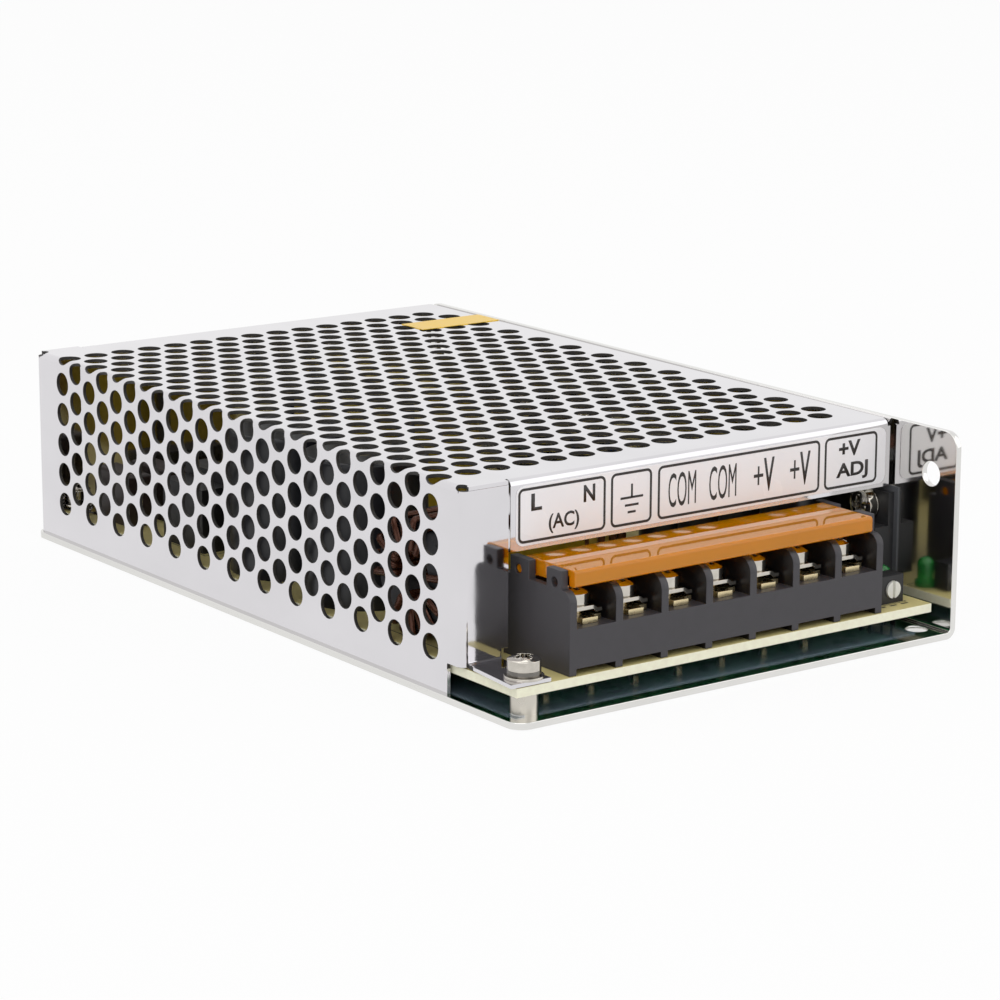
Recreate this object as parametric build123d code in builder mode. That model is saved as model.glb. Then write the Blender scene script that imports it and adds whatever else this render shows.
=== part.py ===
# Enclosed switching power supply: a folded aluminium chassis, a perforated steel cover,
# a circuit board with its power parts, and a seven way screw terminal block with a hinged lid.
#
# Frame: millimetres, +Z up. The origin is at the middle of the underside of the chassis.
# -Y is the terminal end, +X is the side with the chassis wall.
from math import pi, sin, sqrt
import os

from build123d import *

os.makedirs("parts", exist_ok=True)

# Case sizes
case_length = 159.0
case_width = 95.5
case_height = 36.8
chassis_sheet = 1.2
cover_sheet = 0.8
chassis_bend_radius = 2.0
cover_bend_radius = 1.2
base_corner_radius = 3.0
wall_corner_radius = 3.0
left_lip = 0.7
rear_lip = 1.2
front_shelf = 16.1
cover_clearance = 0.1

# Mounting holes of the chassis
mount_hole_diameter = 4.0
mount_hole_edge = 4.35
mount_hole_end = 5.2
wall_hole_diameter = 4.4
wall_hole_height = 28.6
wall_hole_end = 6.2

# Cover folds
tab_width = 9.25
seam_gap = 0.4
label_flange_clearance = 1.4
label_flange_end_gap = 0.75
side_flange_height = 10.0
side_flange_front = -58.0
side_flange_rear = 66.0
foot_width = 7.2
foot_inset = 0.75
foot_length = 13.6
side_notch_length = 4.2
side_notch_height = 5.4
relief_diameter = 2.0
relief_inset = 0.8

# Perforation of the cover
perforation_diameter = 4.4
perforation_sides = 5
perforation_pitch = 5.9
perforation_front_gap = 8.95
perforation_side_drop = 4.75
perforation_side_margin = 5.0
perforation_bend_inset = 1.6
perforation_top_margin = 5.0
perforation_rear_margin = 7.0
perforation_fold_depth = 1.45

# Circuit board and what it stands on
board_thickness = 1.6
standoff_height = 3.5
standoff_diameter = 4.6
board_left_gap = 0.3
board_right_gap = 2.25
board_front_gap = 2.6
board_rear_gap = 0.5
left_post_inset = 5.15
front_post_inset = 5.2
rear_post_inset = 6.4
right_post_inset = 7.25
right_post_front = 7.5
right_post_rear = 66.0
sheet_thickness = 0.25
sheet_left_gap = 0.3
sheet_front_gap = 3.0
sheet_right_gap = 5.6

# Fasteners
screw_diameter = 3.0
screw_clearance = 0.2
screw_head_diameter = 5.6
screw_head_height = 2.4
screw_dome = 0.7
recess_width = 0.9
recess_length = 3.2
recess_depth = 1.3
flat_washer_diameter = 6.6
flat_washer_thickness = 0.5
spring_washer_diameter = 5.6
spring_washer_thickness = 0.9
spring_washer_gap = 0.6
board_screw_length = 4.6
countersink_diameter = 5.4
countersink_angle = 90.0
side_screw_length = 3.2
side_screw_drop = 6.0
side_screw_front = -42.0
side_screw_rear = 52.0
fit_gap = 0.05

# Stickers
sticker_thickness = 0.12
label_side_margin = 1.1
label_top_margin = 1.3
label_bottom_margin = 0.5
label_corner = 1.5
sticker_length = 19.0
sticker_width = 7.5
sticker_middle_y = 57.35
sticker_right_gap = 0.5

# Terminal block
terminal_count = 7
terminal_pitch = 9.5
plate_thickness = 1.5
block_left = -35.15
block_front = -76.56
block_depth = 18.06
block_foot = 1.1
sill_height = 7.8
divider_height = 14.05
end_plate_height = 17.2
block_corner = 2.6
shoulder_depth = 2.5
end_corner = 1.2
small_corner = 0.5
rear_wall_thickness = 1.5
rear_wall_height = 13.0
notch_front = 6.36
notch_length = 4.8
notch_floor = 14.0
end_step = 1.8
pivot_depth = 14.06
pivot_height = 15.2
pivot_hole_diameter = 1.7
snap_depth = 4.26
snap_height = 15.05

# Terminal metal parts
contact_thickness = 1.0
contact_width = 6.5
contact_front = 3.0
contact_length = 11.6
tongue_width = 3.2
tongue_reach = 1.3
pin_width = 1.2
pin_thickness = 0.8
pin_below_board = 1.4
pin_inset = 0.8
terminal_screw_depth = 6.56
terminal_head_diameter = 5.8
terminal_head_height = 2.6
terminal_shank_diameter = 3.4
terminal_screw_reach = 8.0
clamp_size = 7.0
clamp_thickness = 0.7
clamp_lift = 0.3
clamp_crown = 0.55
clamp_crown_width = 3.4
clamp_bore_diameter = 3.8

# Terminal lid
lid_side_gap = 0.25
lid_thickness = 1.2
lid_top = 17.2
lid_front = 1.0
lid_lip_height = 2.85
lid_lip_thickness = 1.6
lid_lip_radius = 0.6
lid_skirt_thickness = 0.5
lid_skirt_height = 2.8
lid_skirt_front = 3.0
pivot_pin_diameter = 1.5
pivot_boss_diameter = 3.4
pivot_pin_reach = 1.2

# Output adjuster and lamp
trimmer_x = 38.7
trimmer_front = -72.9
trimmer_size = 5.0
trimmer_depth = 3.4
rotor_diameter = 3.1
rotor_bore_depth = 1.6
rotor_length = 1.9
rotor_slot_width = 0.6
rotor_slot_depth = 0.6
lamp_x = 41.3
lamp_y = -67.3
lamp_diameter = 3.0
lamp_flange_diameter = 3.8
lamp_flange_height = 1.0
lamp_height = 5.4

# Power devices on the wall
device_width = 10.0
device_thickness = 4.4
device_tab_thickness = 1.3
device_height = 15.2
device_body_height = 9.2
device_hole_drop = 2.8
device_hole_diameter = 3.6
device_screw_height = 20.8
device_lead_width = 0.8
device_lead_pitch = 2.54
device_lead_inset = 2.4
device_lead_thickness = 0.5
pad_thickness = 0.25
pad_margin = 1.0
diode_y = -59.4
transistor_places = (24.0, 42.0)

# Parts on the board
fuse_x = -18.0
fuse_y = -53.8
fuse_diameter = 5.2
fuse_length = 20.0
fuse_cap_length = 4.6
fuse_cap_lip = 0.3
fuse_lift = 0.8
fuse_lead_diameter = 0.8
line_choke_x = -38.2
line_choke_y = -42.0
line_choke_core_outer = 19.0
line_choke_core_inner = 10.0
line_choke_core_width = 8.0
line_choke_wire = 1.3
line_choke_arc = 140.0
box_capacitor_x = -19.0
box_capacitor_y = -43.5
box_capacitor_size = (18.0, 8.5, 15.5)
disc_capacitor_x = -4.0
disc_capacitor_places = (-46.5, -38.5)
disc_capacitor_diameter = 8.5
disc_capacitor_thickness = 3.2
thermistor_x = -21.0
thermistor_y = -33.0
thermistor_diameter = 13.0
thermistor_thickness = 4.5
bridge_x = -13.0
bridge_y = -20.5
bridge_size = (18.0, 5.0, 15.0)
bridge_bevel = 3.0
bulk_capacitor_x = -33.2
bulk_capacitor_places = (-15.0, 9.5)
bulk_capacitor_diameter = 22.0
bulk_capacitor_headroom = 3.7
transformer_x = 4.0
transformer_y = 33.0
core_length = 36.0
core_width = 12.0
core_headroom = 1.6
core_leg = 5.5
core_pole = 11.0
core_yoke = 4.5
coil_width = 27.0
coil_tape = 0.6
transformer_seat = 1.5
driver_x = -33.5
driver_y = 33.5
driver_size = 16.0
driver_height = 14.0
driver_core_width = 5.0
choke_x = 12.5
choke_y = -8.5
choke_core_outer = 25.0
choke_core_inner = 14.0
choke_core_height = 10.0
choke_wire = 1.5
choke_arc = 320.0
output_capacitor_x = 34.0
output_capacitor_places = (-50.0, -38.5, -27.0, -15.5)
output_capacitor_diameter = 10.0
output_capacitor_height = 20.0
small_capacitor_x = 30.0
small_capacitor_places = (50.0, 58.0, 66.0)
small_capacitor_diameter = 5.0
small_capacitor_height = 11.0
chip_x = -8.0
chip_y = 63.0
chip_size = (19.2, 6.4, 3.4)
chip_lift = 0.5
chip_legs = 8
chip_leg_pitch = 2.54
chip_leg_width = 0.5
resistor_x = 17.0
resistor_places = (55.0, 60.0, 65.0, 70.0)
resistor_diameter = 2.4
resistor_length = 6.5
resistor_span = 10.0
resistor_lead_diameter = 0.6
film_capacitor_y = 58.0
film_capacitor_places = (-40.0, -32.0)
film_capacitor_size = (5.0, 13.0, 10.0)
bead_radius = 1.0
rounded_edge = 0.6

# Places worked out from the sizes
base_right = case_width / 2
base_left = -base_right
base_rear = case_length / 2
base_front = -base_rear
wall_inner = base_right - chassis_sheet
cover_left = base_left + left_lip
cover_right = wall_inner - cover_clearance
cover_front = base_front + front_shelf
cover_rear = base_rear - rear_lip
cover_inner_left = cover_left + cover_sheet
seam_x = cover_left + tab_width
flange_left = seam_x + seam_gap
flange_right = wall_inner - label_flange_end_gap
fold_start = 2 * cover_bend_radius
panel_front = cover_front + cover_bend_radius
panel_rear = cover_rear - cover_bend_radius
board_bottom = chassis_sheet + standoff_height
board_top = board_bottom + board_thickness
board_left = cover_inner_left + board_left_gap
board_right = wall_inner - board_right_gap
board_front = base_front + board_front_gap
board_rear = cover_rear - cover_sheet - board_rear_gap
label_flange_bottom = board_top + lid_top + label_flange_clearance
side_screw_height = case_height - side_screw_drop
foot_left = cover_left + foot_inset
foot_top = board_top + cover_sheet
left_post_x = base_left + left_post_inset
front_foot_y = base_front + front_post_inset
rear_foot_y = cover_rear - rear_post_inset
right_post_x = wall_inner - right_post_inset
foot_places = [(left_post_x, front_foot_y), (left_post_x, rear_foot_y)]
right_post_places = [(right_post_x, right_post_front), (right_post_x, right_post_rear)]
post_places = foot_places + right_post_places
screw_hole_radius = screw_diameter / 2 + screw_clearance
mount_hole_x = base_right - mount_hole_edge
mount_hole_places = [(mount_hole_x, side * (base_rear - mount_hole_end)) for side in (-1, 1)]
side_screw_places = [side_screw_front, side_screw_rear]
block_right = block_left + terminal_count * terminal_pitch + plate_thickness
block_rear = block_front + block_depth
block_bottom = board_top + block_foot
sill_top = board_top + sill_height
first_cell_x = block_left + (plate_thickness + terminal_pitch) / 2
cell_places = [first_cell_x + terminal_pitch * index for index in range(terminal_count)]
plate_places = [block_left + terminal_pitch * index for index in range(terminal_count + 1)]
screw_row_y = block_front + terminal_screw_depth
contact_top = sill_top + contact_thickness
contact_rear = block_front + contact_front + contact_length
pin_y = contact_rear - pin_inset
clamp_bottom = contact_top + clamp_lift
head_seat = clamp_bottom + clamp_crown + clamp_thickness
pivot_y = block_front + pivot_depth
pivot_z = board_top + pivot_height
device_places = (diode_y,) + transistor_places
pad_face = wall_inner - pad_thickness
tab_face = pad_face - device_tab_thickness
device_top = device_screw_height + device_hole_drop
device_bottom = device_top - device_height
room_top = case_height - cover_sheet
bulk_capacitor_height = room_top - bulk_capacitor_headroom - board_top
core_bottom = board_top + transformer_seat
core_height = room_top - core_headroom - coil_tape - core_bottom
core_window_height = core_height - 2 * core_yoke


def wall_plane(y, z):
    """Plane on the outside of the chassis wall, facing out."""
    return Plane((base_right, y, z), z_dir=(1, 0, 0))


side_screw_planes = [wall_plane(y, side_screw_height) for y in side_screw_places]


def pan_head(diameter, height):
    """Pan head with a domed top and a cross recess, its seat at the origin."""
    with BuildPart() as head:
        with BuildSketch(Plane.XZ):
            with BuildLine():
                shoulder = height - screw_dome
                Line((0, 0), (diameter / 2, 0))
                Line((diameter / 2, 0), (diameter / 2, shoulder))
                ThreePointArc((diameter / 2, shoulder), (diameter / 4, height - screw_dome / 4), (0, height))
                Line((0, height), (0, 0))
            make_face()
        revolve(axis=Axis.Z)
        with BuildSketch(Plane.XY.offset(height)):
            Rectangle(recess_length, recess_width)
            Rectangle(recess_width, recess_length)
        extrude(amount=-recess_depth, mode=Mode.SUBTRACT)
    return head.part


# Chassis: one folded aluminium sheet, the base and the right wall
with BuildPart() as chassis:
    with BuildSketch(Plane.XZ):
        with BuildLine():
            FilletPolyline(
                (base_left, 0),
                (base_right, 0),
                (base_right, case_height),
                radius=chassis_bend_radius,
            )
            offset(amount=chassis_sheet, side=Side.LEFT)
        make_face()
    extrude(amount=case_length / 2, both=True)
    fillet(chassis.edges().filter_by(Axis.Z).group_by(Axis.X)[0], base_corner_radius)
    fillet(chassis.edges().filter_by(Axis.X).group_by(Axis.Z)[-1], wall_corner_radius)
    with Locations(*[(x, y, chassis_sheet) for x, y in mount_hole_places]):
        Hole(mount_hole_diameter / 2)
    wall_ends = [side * (base_rear - wall_hole_end) for side in (-1, 1)]
    with Locations(*[wall_plane(y, wall_hole_height) for y in wall_ends]):
        Hole(wall_hole_diameter / 2)
    with Locations(*side_screw_planes):
        sink_radius = countersink_diameter / 2 + fit_gap
        CounterSinkHole(screw_hole_radius, sink_radius, counter_sink_angle=countersink_angle)
    with Locations(*[wall_plane(y, device_screw_height) for y in device_places]):
        Hole(screw_diameter / 2 + fit_gap)
chassis.part.label = "chassis"
export_step(chassis.part, "parts/chassis.step")

# Cover: one folded and perforated steel sheet
row_spacing = perforation_pitch * sqrt(3) / 2
first_column_y = cover_front + perforation_front_gap
last_column = int((cover_rear - perforation_rear_margin - first_column_y) / row_spacing)
columns = range(last_column + 1)
even_columns = [first_column_y + row_spacing * column for column in columns[::2]]
odd_columns = [first_column_y + row_spacing * column for column in columns[1::2]]
highest_row = case_height - perforation_side_drop
last_row = int((highest_row - chassis_sheet - perforation_side_margin) / perforation_pitch)
even_heights = [highest_row - perforation_pitch * row for row in range(last_row + 1)]
odd_heights = [height + perforation_pitch / 2 for height in even_heights]
even_side_holes = [(y, height) for y in even_columns for height in even_heights]
odd_side_holes = [(y, height) for y in odd_columns for height in odd_heights]
bend_hole_x = cover_left + perforation_bend_inset
last_line = int((cover_right - perforation_top_margin - bend_hole_x) / perforation_pitch)
even_lines = [bend_hole_x + perforation_pitch * line for line in range(last_line + 1)]
odd_lines = [x + perforation_pitch / 2 for x in even_lines]
even_top_holes = [(x, y) for y in even_columns for x in even_lines]
odd_top_holes = [(x, y) for y in odd_columns for x in odd_lines]
polygon_factor = sqrt(2 * pi / (perforation_sides * sin(2 * pi / perforation_sides)))
perforation_radius = perforation_diameter / 2 * polygon_factor

with BuildPart() as cover:
    # top panel with the left side and the hidden right flange
    with BuildSketch(Plane.XZ.offset(-panel_rear)):
        with BuildLine():
            FilletPolyline(
                (cover_left, chassis_sheet),
                (cover_left, case_height),
                (cover_right, case_height),
                (cover_right, case_height - side_flange_height),
                radius=cover_bend_radius,
            )
            offset(amount=cover_sheet, side=Side.RIGHT)
        make_face()
    extrude(amount=panel_rear - panel_front)
    flange_reach = side_flange_height - cover_bend_radius
    for start, end in ((panel_front, side_flange_front), (side_flange_rear, panel_rear)):
        with BuildSketch(Plane.XY.offset(case_height - side_flange_height)):
            with Locations((cover_right, (start + end) / 2)):
                Rectangle(4 * cover_sheet, end - start)
        extrude(amount=flange_reach, mode=Mode.SUBTRACT)
    # label flange at the front and full height flange at the rear
    with BuildSketch(Plane.YZ.offset(flange_left)):
        with BuildLine():
            FilletPolyline(
                (cover_front + fold_start, case_height),
                (cover_front, case_height),
                (cover_front, label_flange_bottom),
                radius=cover_bend_radius,
            )
            offset(amount=cover_sheet, side=Side.LEFT)
        make_face()
        with BuildLine():
            FilletPolyline(
                (cover_rear - fold_start, case_height),
                (cover_rear, case_height),
                (cover_rear, chassis_sheet),
                radius=cover_bend_radius,
            )
            offset(amount=cover_sheet, side=Side.RIGHT)
        make_face()
    extrude(amount=flange_right - flange_left)
    # strips of the top panel that run out over the two left tabs
    with BuildSketch(Plane.XY.offset(case_height - cover_sheet)):
        for start, end in ((cover_front, panel_front), (panel_rear, cover_rear)):
            with Locations(((cover_left + cover_bend_radius + seam_x) / 2, (start + end) / 2)):
                Rectangle(tab_width - cover_bend_radius, end - start)
    extrude(amount=cover_sheet)
    # tabs folded round from the left side
    with BuildSketch(Plane.XY.offset(board_top + fold_start)):
        with BuildLine():
            FilletPolyline(
                (cover_left, cover_front + fold_start),
                (cover_left, cover_front),
                (seam_x, cover_front),
                radius=cover_bend_radius,
            )
            offset(amount=cover_sheet, side=Side.LEFT)
        make_face()
        with BuildLine():
            FilletPolyline(
                (cover_left, cover_rear - fold_start),
                (cover_left, cover_rear),
                (seam_x, cover_rear),
                radius=cover_bend_radius,
            )
            offset(amount=cover_sheet, side=Side.RIGHT)
        make_face()
    extrude(amount=case_height - cover_bend_radius - board_top - fold_start)
    # feet folded from the tabs onto the board
    with BuildSketch(Plane.YZ.offset(foot_left)):
        with BuildLine():
            FilletPolyline(
                (cover_front - foot_length, board_top),
                (cover_front + cover_sheet, board_top),
                (cover_front + cover_sheet, board_top + fold_start),
                radius=cover_bend_radius,
            )
            offset(amount=cover_sheet, side=Side.LEFT)
        make_face()
        with BuildLine():
            FilletPolyline(
                (cover_rear, board_top + fold_start),
                (cover_rear, board_top),
                (cover_rear - foot_length, board_top),
                radius=cover_bend_radius,
            )
            offset(amount=cover_sheet, side=Side.RIGHT)
        make_face()
    extrude(amount=foot_width)
    with Locations(*[(x, y, foot_top) for x, y in foot_places]):
        Hole(screw_hole_radius, depth=2 * cover_sheet)
    # lower front corner of the side cut back over the base
    with BuildSketch(Plane.XZ.offset(-cover_front)):
        with Locations((cover_left, chassis_sheet)):
            Rectangle(4 * cover_sheet, side_notch_height, align=(Align.CENTER, Align.MIN))
    extrude(amount=-side_notch_length, mode=Mode.SUBTRACT)
    # relief holes where three folds meet
    relief_x = cover_left + relief_inset
    with Locations((relief_x, cover_front + relief_inset + cover_bend_radius / 2, case_height)):
        Hole(relief_diameter / 2, depth=cover_bend_radius)
    with Locations((relief_x, cover_rear - relief_inset - cover_bend_radius / 2, case_height)):
        Hole(relief_diameter / 2, depth=cover_bend_radius)
    # threaded holes of the right flange
    with Locations(*side_screw_planes):
        Hole(screw_diameter / 2 + fit_gap, depth=chassis_sheet + 2 * cover_sheet)
    # staggered perforation, through the left side and then down through the top and its bend
    with BuildSketch(Plane.YZ.offset(cover_left - cover_sheet)):
        with Locations(*even_side_holes, *odd_side_holes):
            RegularPolygon(perforation_radius, perforation_sides)
    extrude(amount=cover_sheet + perforation_fold_depth, mode=Mode.SUBTRACT)
    with BuildSketch(Plane.XY.offset(case_height + cover_sheet)):
        with Locations(*even_top_holes, *odd_top_holes):
            RegularPolygon(perforation_radius, perforation_sides)
    extrude(amount=-(cover_sheet + perforation_fold_depth), mode=Mode.SUBTRACT)
cover.part.label = "cover"
export_step(cover.part, "parts/cover.step")

# Terminal label: a sticker on the label flange
label_bottom = label_flange_bottom + label_bottom_margin
label_top = case_height - label_top_margin
label_width = flange_right - flange_left - 2 * label_side_margin
with BuildPart() as terminal_label:
    with BuildSketch(Plane.XZ.offset(-cover_front)):
        with Locations(((flange_left + flange_right) / 2, (label_bottom + label_top) / 2)):
            RectangleRounded(label_width, label_top - label_bottom, label_corner)
    extrude(amount=sticker_thickness)
terminal_label.part.label = "terminal_label"
export_step(terminal_label.part, "parts/terminal_label.step")

# Yellow sticker on the top panel
with BuildPart() as yellow_sticker:
    with BuildSketch(Plane.XY.offset(case_height)):
        with Locations((cover_right - sticker_right_gap - sticker_length / 2, sticker_middle_y)):
            Rectangle(sticker_length, sticker_width)
    extrude(amount=sticker_thickness)
yellow_sticker.part.label = "yellow_sticker"
export_step(yellow_sticker.part, "parts/yellow_sticker.step")

# Insulating sheet between the chassis and the board
with BuildPart() as insulating_sheet:
    sheet_left = cover_inner_left + sheet_left_gap
    sheet_right = wall_inner - sheet_right_gap
    sheet_front = base_front + sheet_front_gap
    sheet_rear = board_rear - sheet_left_gap
    with BuildSketch(Plane.XY.offset(chassis_sheet)):
        with Locations(((sheet_left + sheet_right) / 2, (sheet_front + sheet_rear) / 2)):
            Rectangle(sheet_right - sheet_left, sheet_rear - sheet_front)
        with Locations(*post_places):
            Circle(standoff_diameter / 2 + sheet_left_gap, mode=Mode.SUBTRACT)
    extrude(amount=sheet_thickness)
insulating_sheet.part.label = "insulating_sheet"
export_step(insulating_sheet.part, "parts/insulating_sheet.step")

# Standoffs pressed into the base
with BuildPart() as standoffs:
    with BuildSketch(Plane.XY.offset(chassis_sheet)):
        with Locations(*post_places):
            Circle(standoff_diameter / 2)
            Circle(screw_diameter / 2 + fit_gap, mode=Mode.SUBTRACT)
    extrude(amount=standoff_height)
standoffs.part.label = "standoffs"
export_step(standoffs.part, "parts/standoffs.step")

# Circuit board
with BuildPart() as circuit_board:
    with BuildSketch(Plane.XY.offset(board_bottom)):
        with Locations(((board_left + board_right) / 2, (board_front + board_rear) / 2)):
            Rectangle(board_right - board_left, board_rear - board_front)
        with Locations(*post_places):
            Circle(screw_hole_radius, mode=Mode.SUBTRACT)
        with Locations(*[(x, pin_y) for x in cell_places]):
            Circle(pin_width / 2 + screw_clearance, mode=Mode.SUBTRACT)
    extrude(amount=board_thickness)
    lead_x = pad_face - device_lead_inset
    lead_places = [(lead_x, y + step * device_lead_pitch) for y in device_places for step in (-1, 0, 1)]
    with Locations(*[(x, y, board_top) for x, y in lead_places]):
        Hole(device_lead_width / 2 + screw_clearance)
circuit_board.part.label = "circuit_board"
export_step(circuit_board.part, "parts/circuit_board.step")

# Screws, spring washers and flat washers that hold the two cover feet and the board
flat_washer_top = foot_top + flat_washer_thickness
spring_washer_top = flat_washer_top + spring_washer_thickness
with BuildPart() as foot_flat_washers:
    with BuildSketch(Plane.XY.offset(foot_top)):
        with Locations(*foot_places):
            Circle(flat_washer_diameter / 2)
            Circle(screw_hole_radius, mode=Mode.SUBTRACT)
    extrude(amount=flat_washer_thickness)
foot_flat_washers.part.label = "foot_flat_washers"
export_step(foot_flat_washers.part, "parts/foot_flat_washers.step")

with BuildPart() as foot_spring_washers:
    with BuildSketch(Plane.XY.offset(flat_washer_top)):
        with Locations(*foot_places):
            Circle(spring_washer_diameter / 2)
            Circle(screw_hole_radius, mode=Mode.SUBTRACT)
        with Locations(*[(x + spring_washer_diameter / 2, y) for x, y in foot_places]):
            Rectangle(spring_washer_diameter, spring_washer_gap, mode=Mode.SUBTRACT)
    extrude(amount=spring_washer_thickness)
foot_spring_washers.part.label = "foot_spring_washers"
export_step(foot_spring_washers.part, "parts/foot_spring_washers.step")

screw_head = pan_head(screw_head_diameter, screw_head_height)

with BuildPart() as foot_screws:
    with Locations(*[(x, y, spring_washer_top) for x, y in foot_places]):
        add(screw_head)
    shank_length = spring_washer_top - foot_top + board_screw_length
    with BuildSketch(Plane.XY.offset(spring_washer_top)):
        with Locations(*foot_places):
            Circle(screw_diameter / 2)
    extrude(amount=-shank_length)
foot_screws.part.label = "foot_screws"
export_step(foot_screws.part, "parts/foot_screws.step")

with BuildPart() as board_screws:
    with Locations(*[(x, y, board_top) for x, y in right_post_places]):
        add(screw_head)
    with BuildSketch(Plane.XY.offset(board_top)):
        with Locations(*right_post_places):
            Circle(screw_diameter / 2)
    extrude(amount=-board_screw_length)
board_screws.part.label = "board_screws"
export_step(board_screws.part, "parts/board_screws.step")

# Countersunk screws that hold the cover to the wall
with BuildPart() as cover_side_screws:
    with BuildSketch(*side_screw_planes):
        Circle(countersink_diameter / 2)
    extrude(amount=-(countersink_diameter - screw_diameter) / 2, taper=countersink_angle / 2)
    with BuildSketch(*side_screw_planes):
        Circle(screw_diameter / 2)
    extrude(amount=-side_screw_length)
    with BuildSketch(*side_screw_planes):
        Rectangle(recess_length, recess_width)
        Rectangle(recess_width, recess_length)
    extrude(amount=-recess_depth / 2, mode=Mode.SUBTRACT)
cover_side_screws.part.label = "cover_side_screws"
export_step(cover_side_screws.part, "parts/cover_side_screws.step")

# Terminal block: one moulding with seven cells
with BuildPart() as terminal_block:
    # floor under the cells
    with BuildSketch(Plane.XY.offset(block_bottom)):
        with Locations((block_left, block_front)):
            Rectangle(block_right - block_left, block_depth, align=(Align.MIN, Align.MIN))
    extrude(amount=sill_top - block_bottom)
    # rear wall
    with BuildSketch(Plane.XY.offset(block_bottom)):
        with Locations((block_left, block_rear)):
            Rectangle(block_right - block_left, rear_wall_thickness, align=(Align.MIN, Align.MAX))
    extrude(amount=board_top + rear_wall_height - block_bottom)
    # dividers between the cells, standing on the board
    with BuildSketch(*[Plane.YZ.offset(x) for x in plate_places[1:-1]]):
        with Locations((block_front, board_top)):
            Rectangle(block_depth, divider_height, align=(Align.MIN, Align.MIN))
        fillet(vertices().group_by(Axis.Y)[-1].sort_by(Axis.X)[0], block_corner)
        # lower step under the knuckle of the lid
        step_length = block_rear - pivot_y + pivot_boss_diameter
        with Locations((block_rear, board_top + rear_wall_height)):
            Rectangle(step_length, divider_height, align=(Align.MAX, Align.MIN), mode=Mode.SUBTRACT)
    extrude(amount=plate_thickness)
    # end plates, higher than the dividers, notched for the lid
    end_front = block_front + shoulder_depth
    end_rear = block_rear - end_step
    end_top = board_top + end_plate_height
    notch_start = block_front + notch_front
    notch_bottom = board_top + notch_floor
    shoulder_z = board_top + divider_height
    with BuildSketch(*[Plane.YZ.offset(x) for x in (plate_places[0], plate_places[-1])]):
        with BuildLine():
            Polyline(
                (block_front, board_top),
                (block_front, shoulder_z),
                (end_front, shoulder_z),
                (end_front, end_top),
                (notch_start, end_top),
                (notch_start, notch_bottom),
                (notch_start + notch_length, notch_bottom),
                (notch_start + notch_length, end_top),
                (end_rear, end_top),
                (end_rear, shoulder_z),
                (block_rear, shoulder_z),
                (block_rear, board_top),
                close=True,
            )
        make_face()
        outer_corner = vertices().group_by(Axis.X)[0].sort_by(Axis.Y)[-1]
        top_corners = vertices().group_by(Axis.Y)[-1].sort_by(Axis.X)
        fillet([outer_corner], shoulder_depth - small_corner)
        fillet([top_corners[0], top_corners[-1]], end_corner)
        fillet(top_corners[1:-1], small_corner)
    extrude(amount=plate_thickness)
    # holes for the lid: pivots at the rear, snaps at the front
    lid_holes = [(pivot_y, pivot_z), (block_front + snap_depth, board_top + snap_height)]
    with Locations(*[Plane((block_right, y, z), z_dir=(1, 0, 0)) for y, z in lid_holes]):
        Hole(pivot_hole_diameter / 2)
    # wells for the screws and slots for the contact pins
    with Locations(*[(x, screw_row_y, sill_top) for x in cell_places]):
        Hole(terminal_shank_diameter / 2 + screw_clearance, depth=terminal_screw_reach - contact_thickness)
    with BuildSketch(Plane.XY.offset(block_bottom)):
        with Locations(*[(x, pin_y) for x in cell_places]):
            Rectangle(pin_width + screw_clearance, pin_thickness + screw_clearance)
    extrude(amount=sill_top - block_bottom, mode=Mode.SUBTRACT)
terminal_block.part.label = "terminal_block"
export_step(terminal_block.part, "parts/terminal_block.step")

# Contact plates: one in each cell, with a tongue over the sill and a pin through the board
with BuildPart() as contact_plates:
    with BuildSketch(Plane.XY.offset(sill_top)):
        with Locations(*[(x, contact_rear) for x in cell_places]):
            Rectangle(contact_width, contact_length, align=(Align.CENTER, Align.MAX))
        with Locations(*[(x, contact_rear - contact_length) for x in cell_places]):
            Rectangle(tongue_width, tongue_reach, align=(Align.CENTER, Align.MAX))
        with Locations(*[(x, screw_row_y) for x in cell_places]):
            Circle(terminal_shank_diameter / 2 + fit_gap, mode=Mode.SUBTRACT)
    extrude(amount=contact_thickness)
    with BuildSketch(Plane.XY.offset(board_bottom - pin_below_board)):
        with Locations(*[(x, pin_y) for x in cell_places]):
            Rectangle(pin_width, pin_thickness)
    extrude(amount=sill_top + pin_below_board - board_bottom)
contact_plates.part.label = "contact_plates"
export_step(contact_plates.part, "parts/contact_plates.step")

# Terminal screws and their captive clamp washers, one pair in each cell
terminal_head = pan_head(terminal_head_diameter, terminal_head_height)

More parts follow.
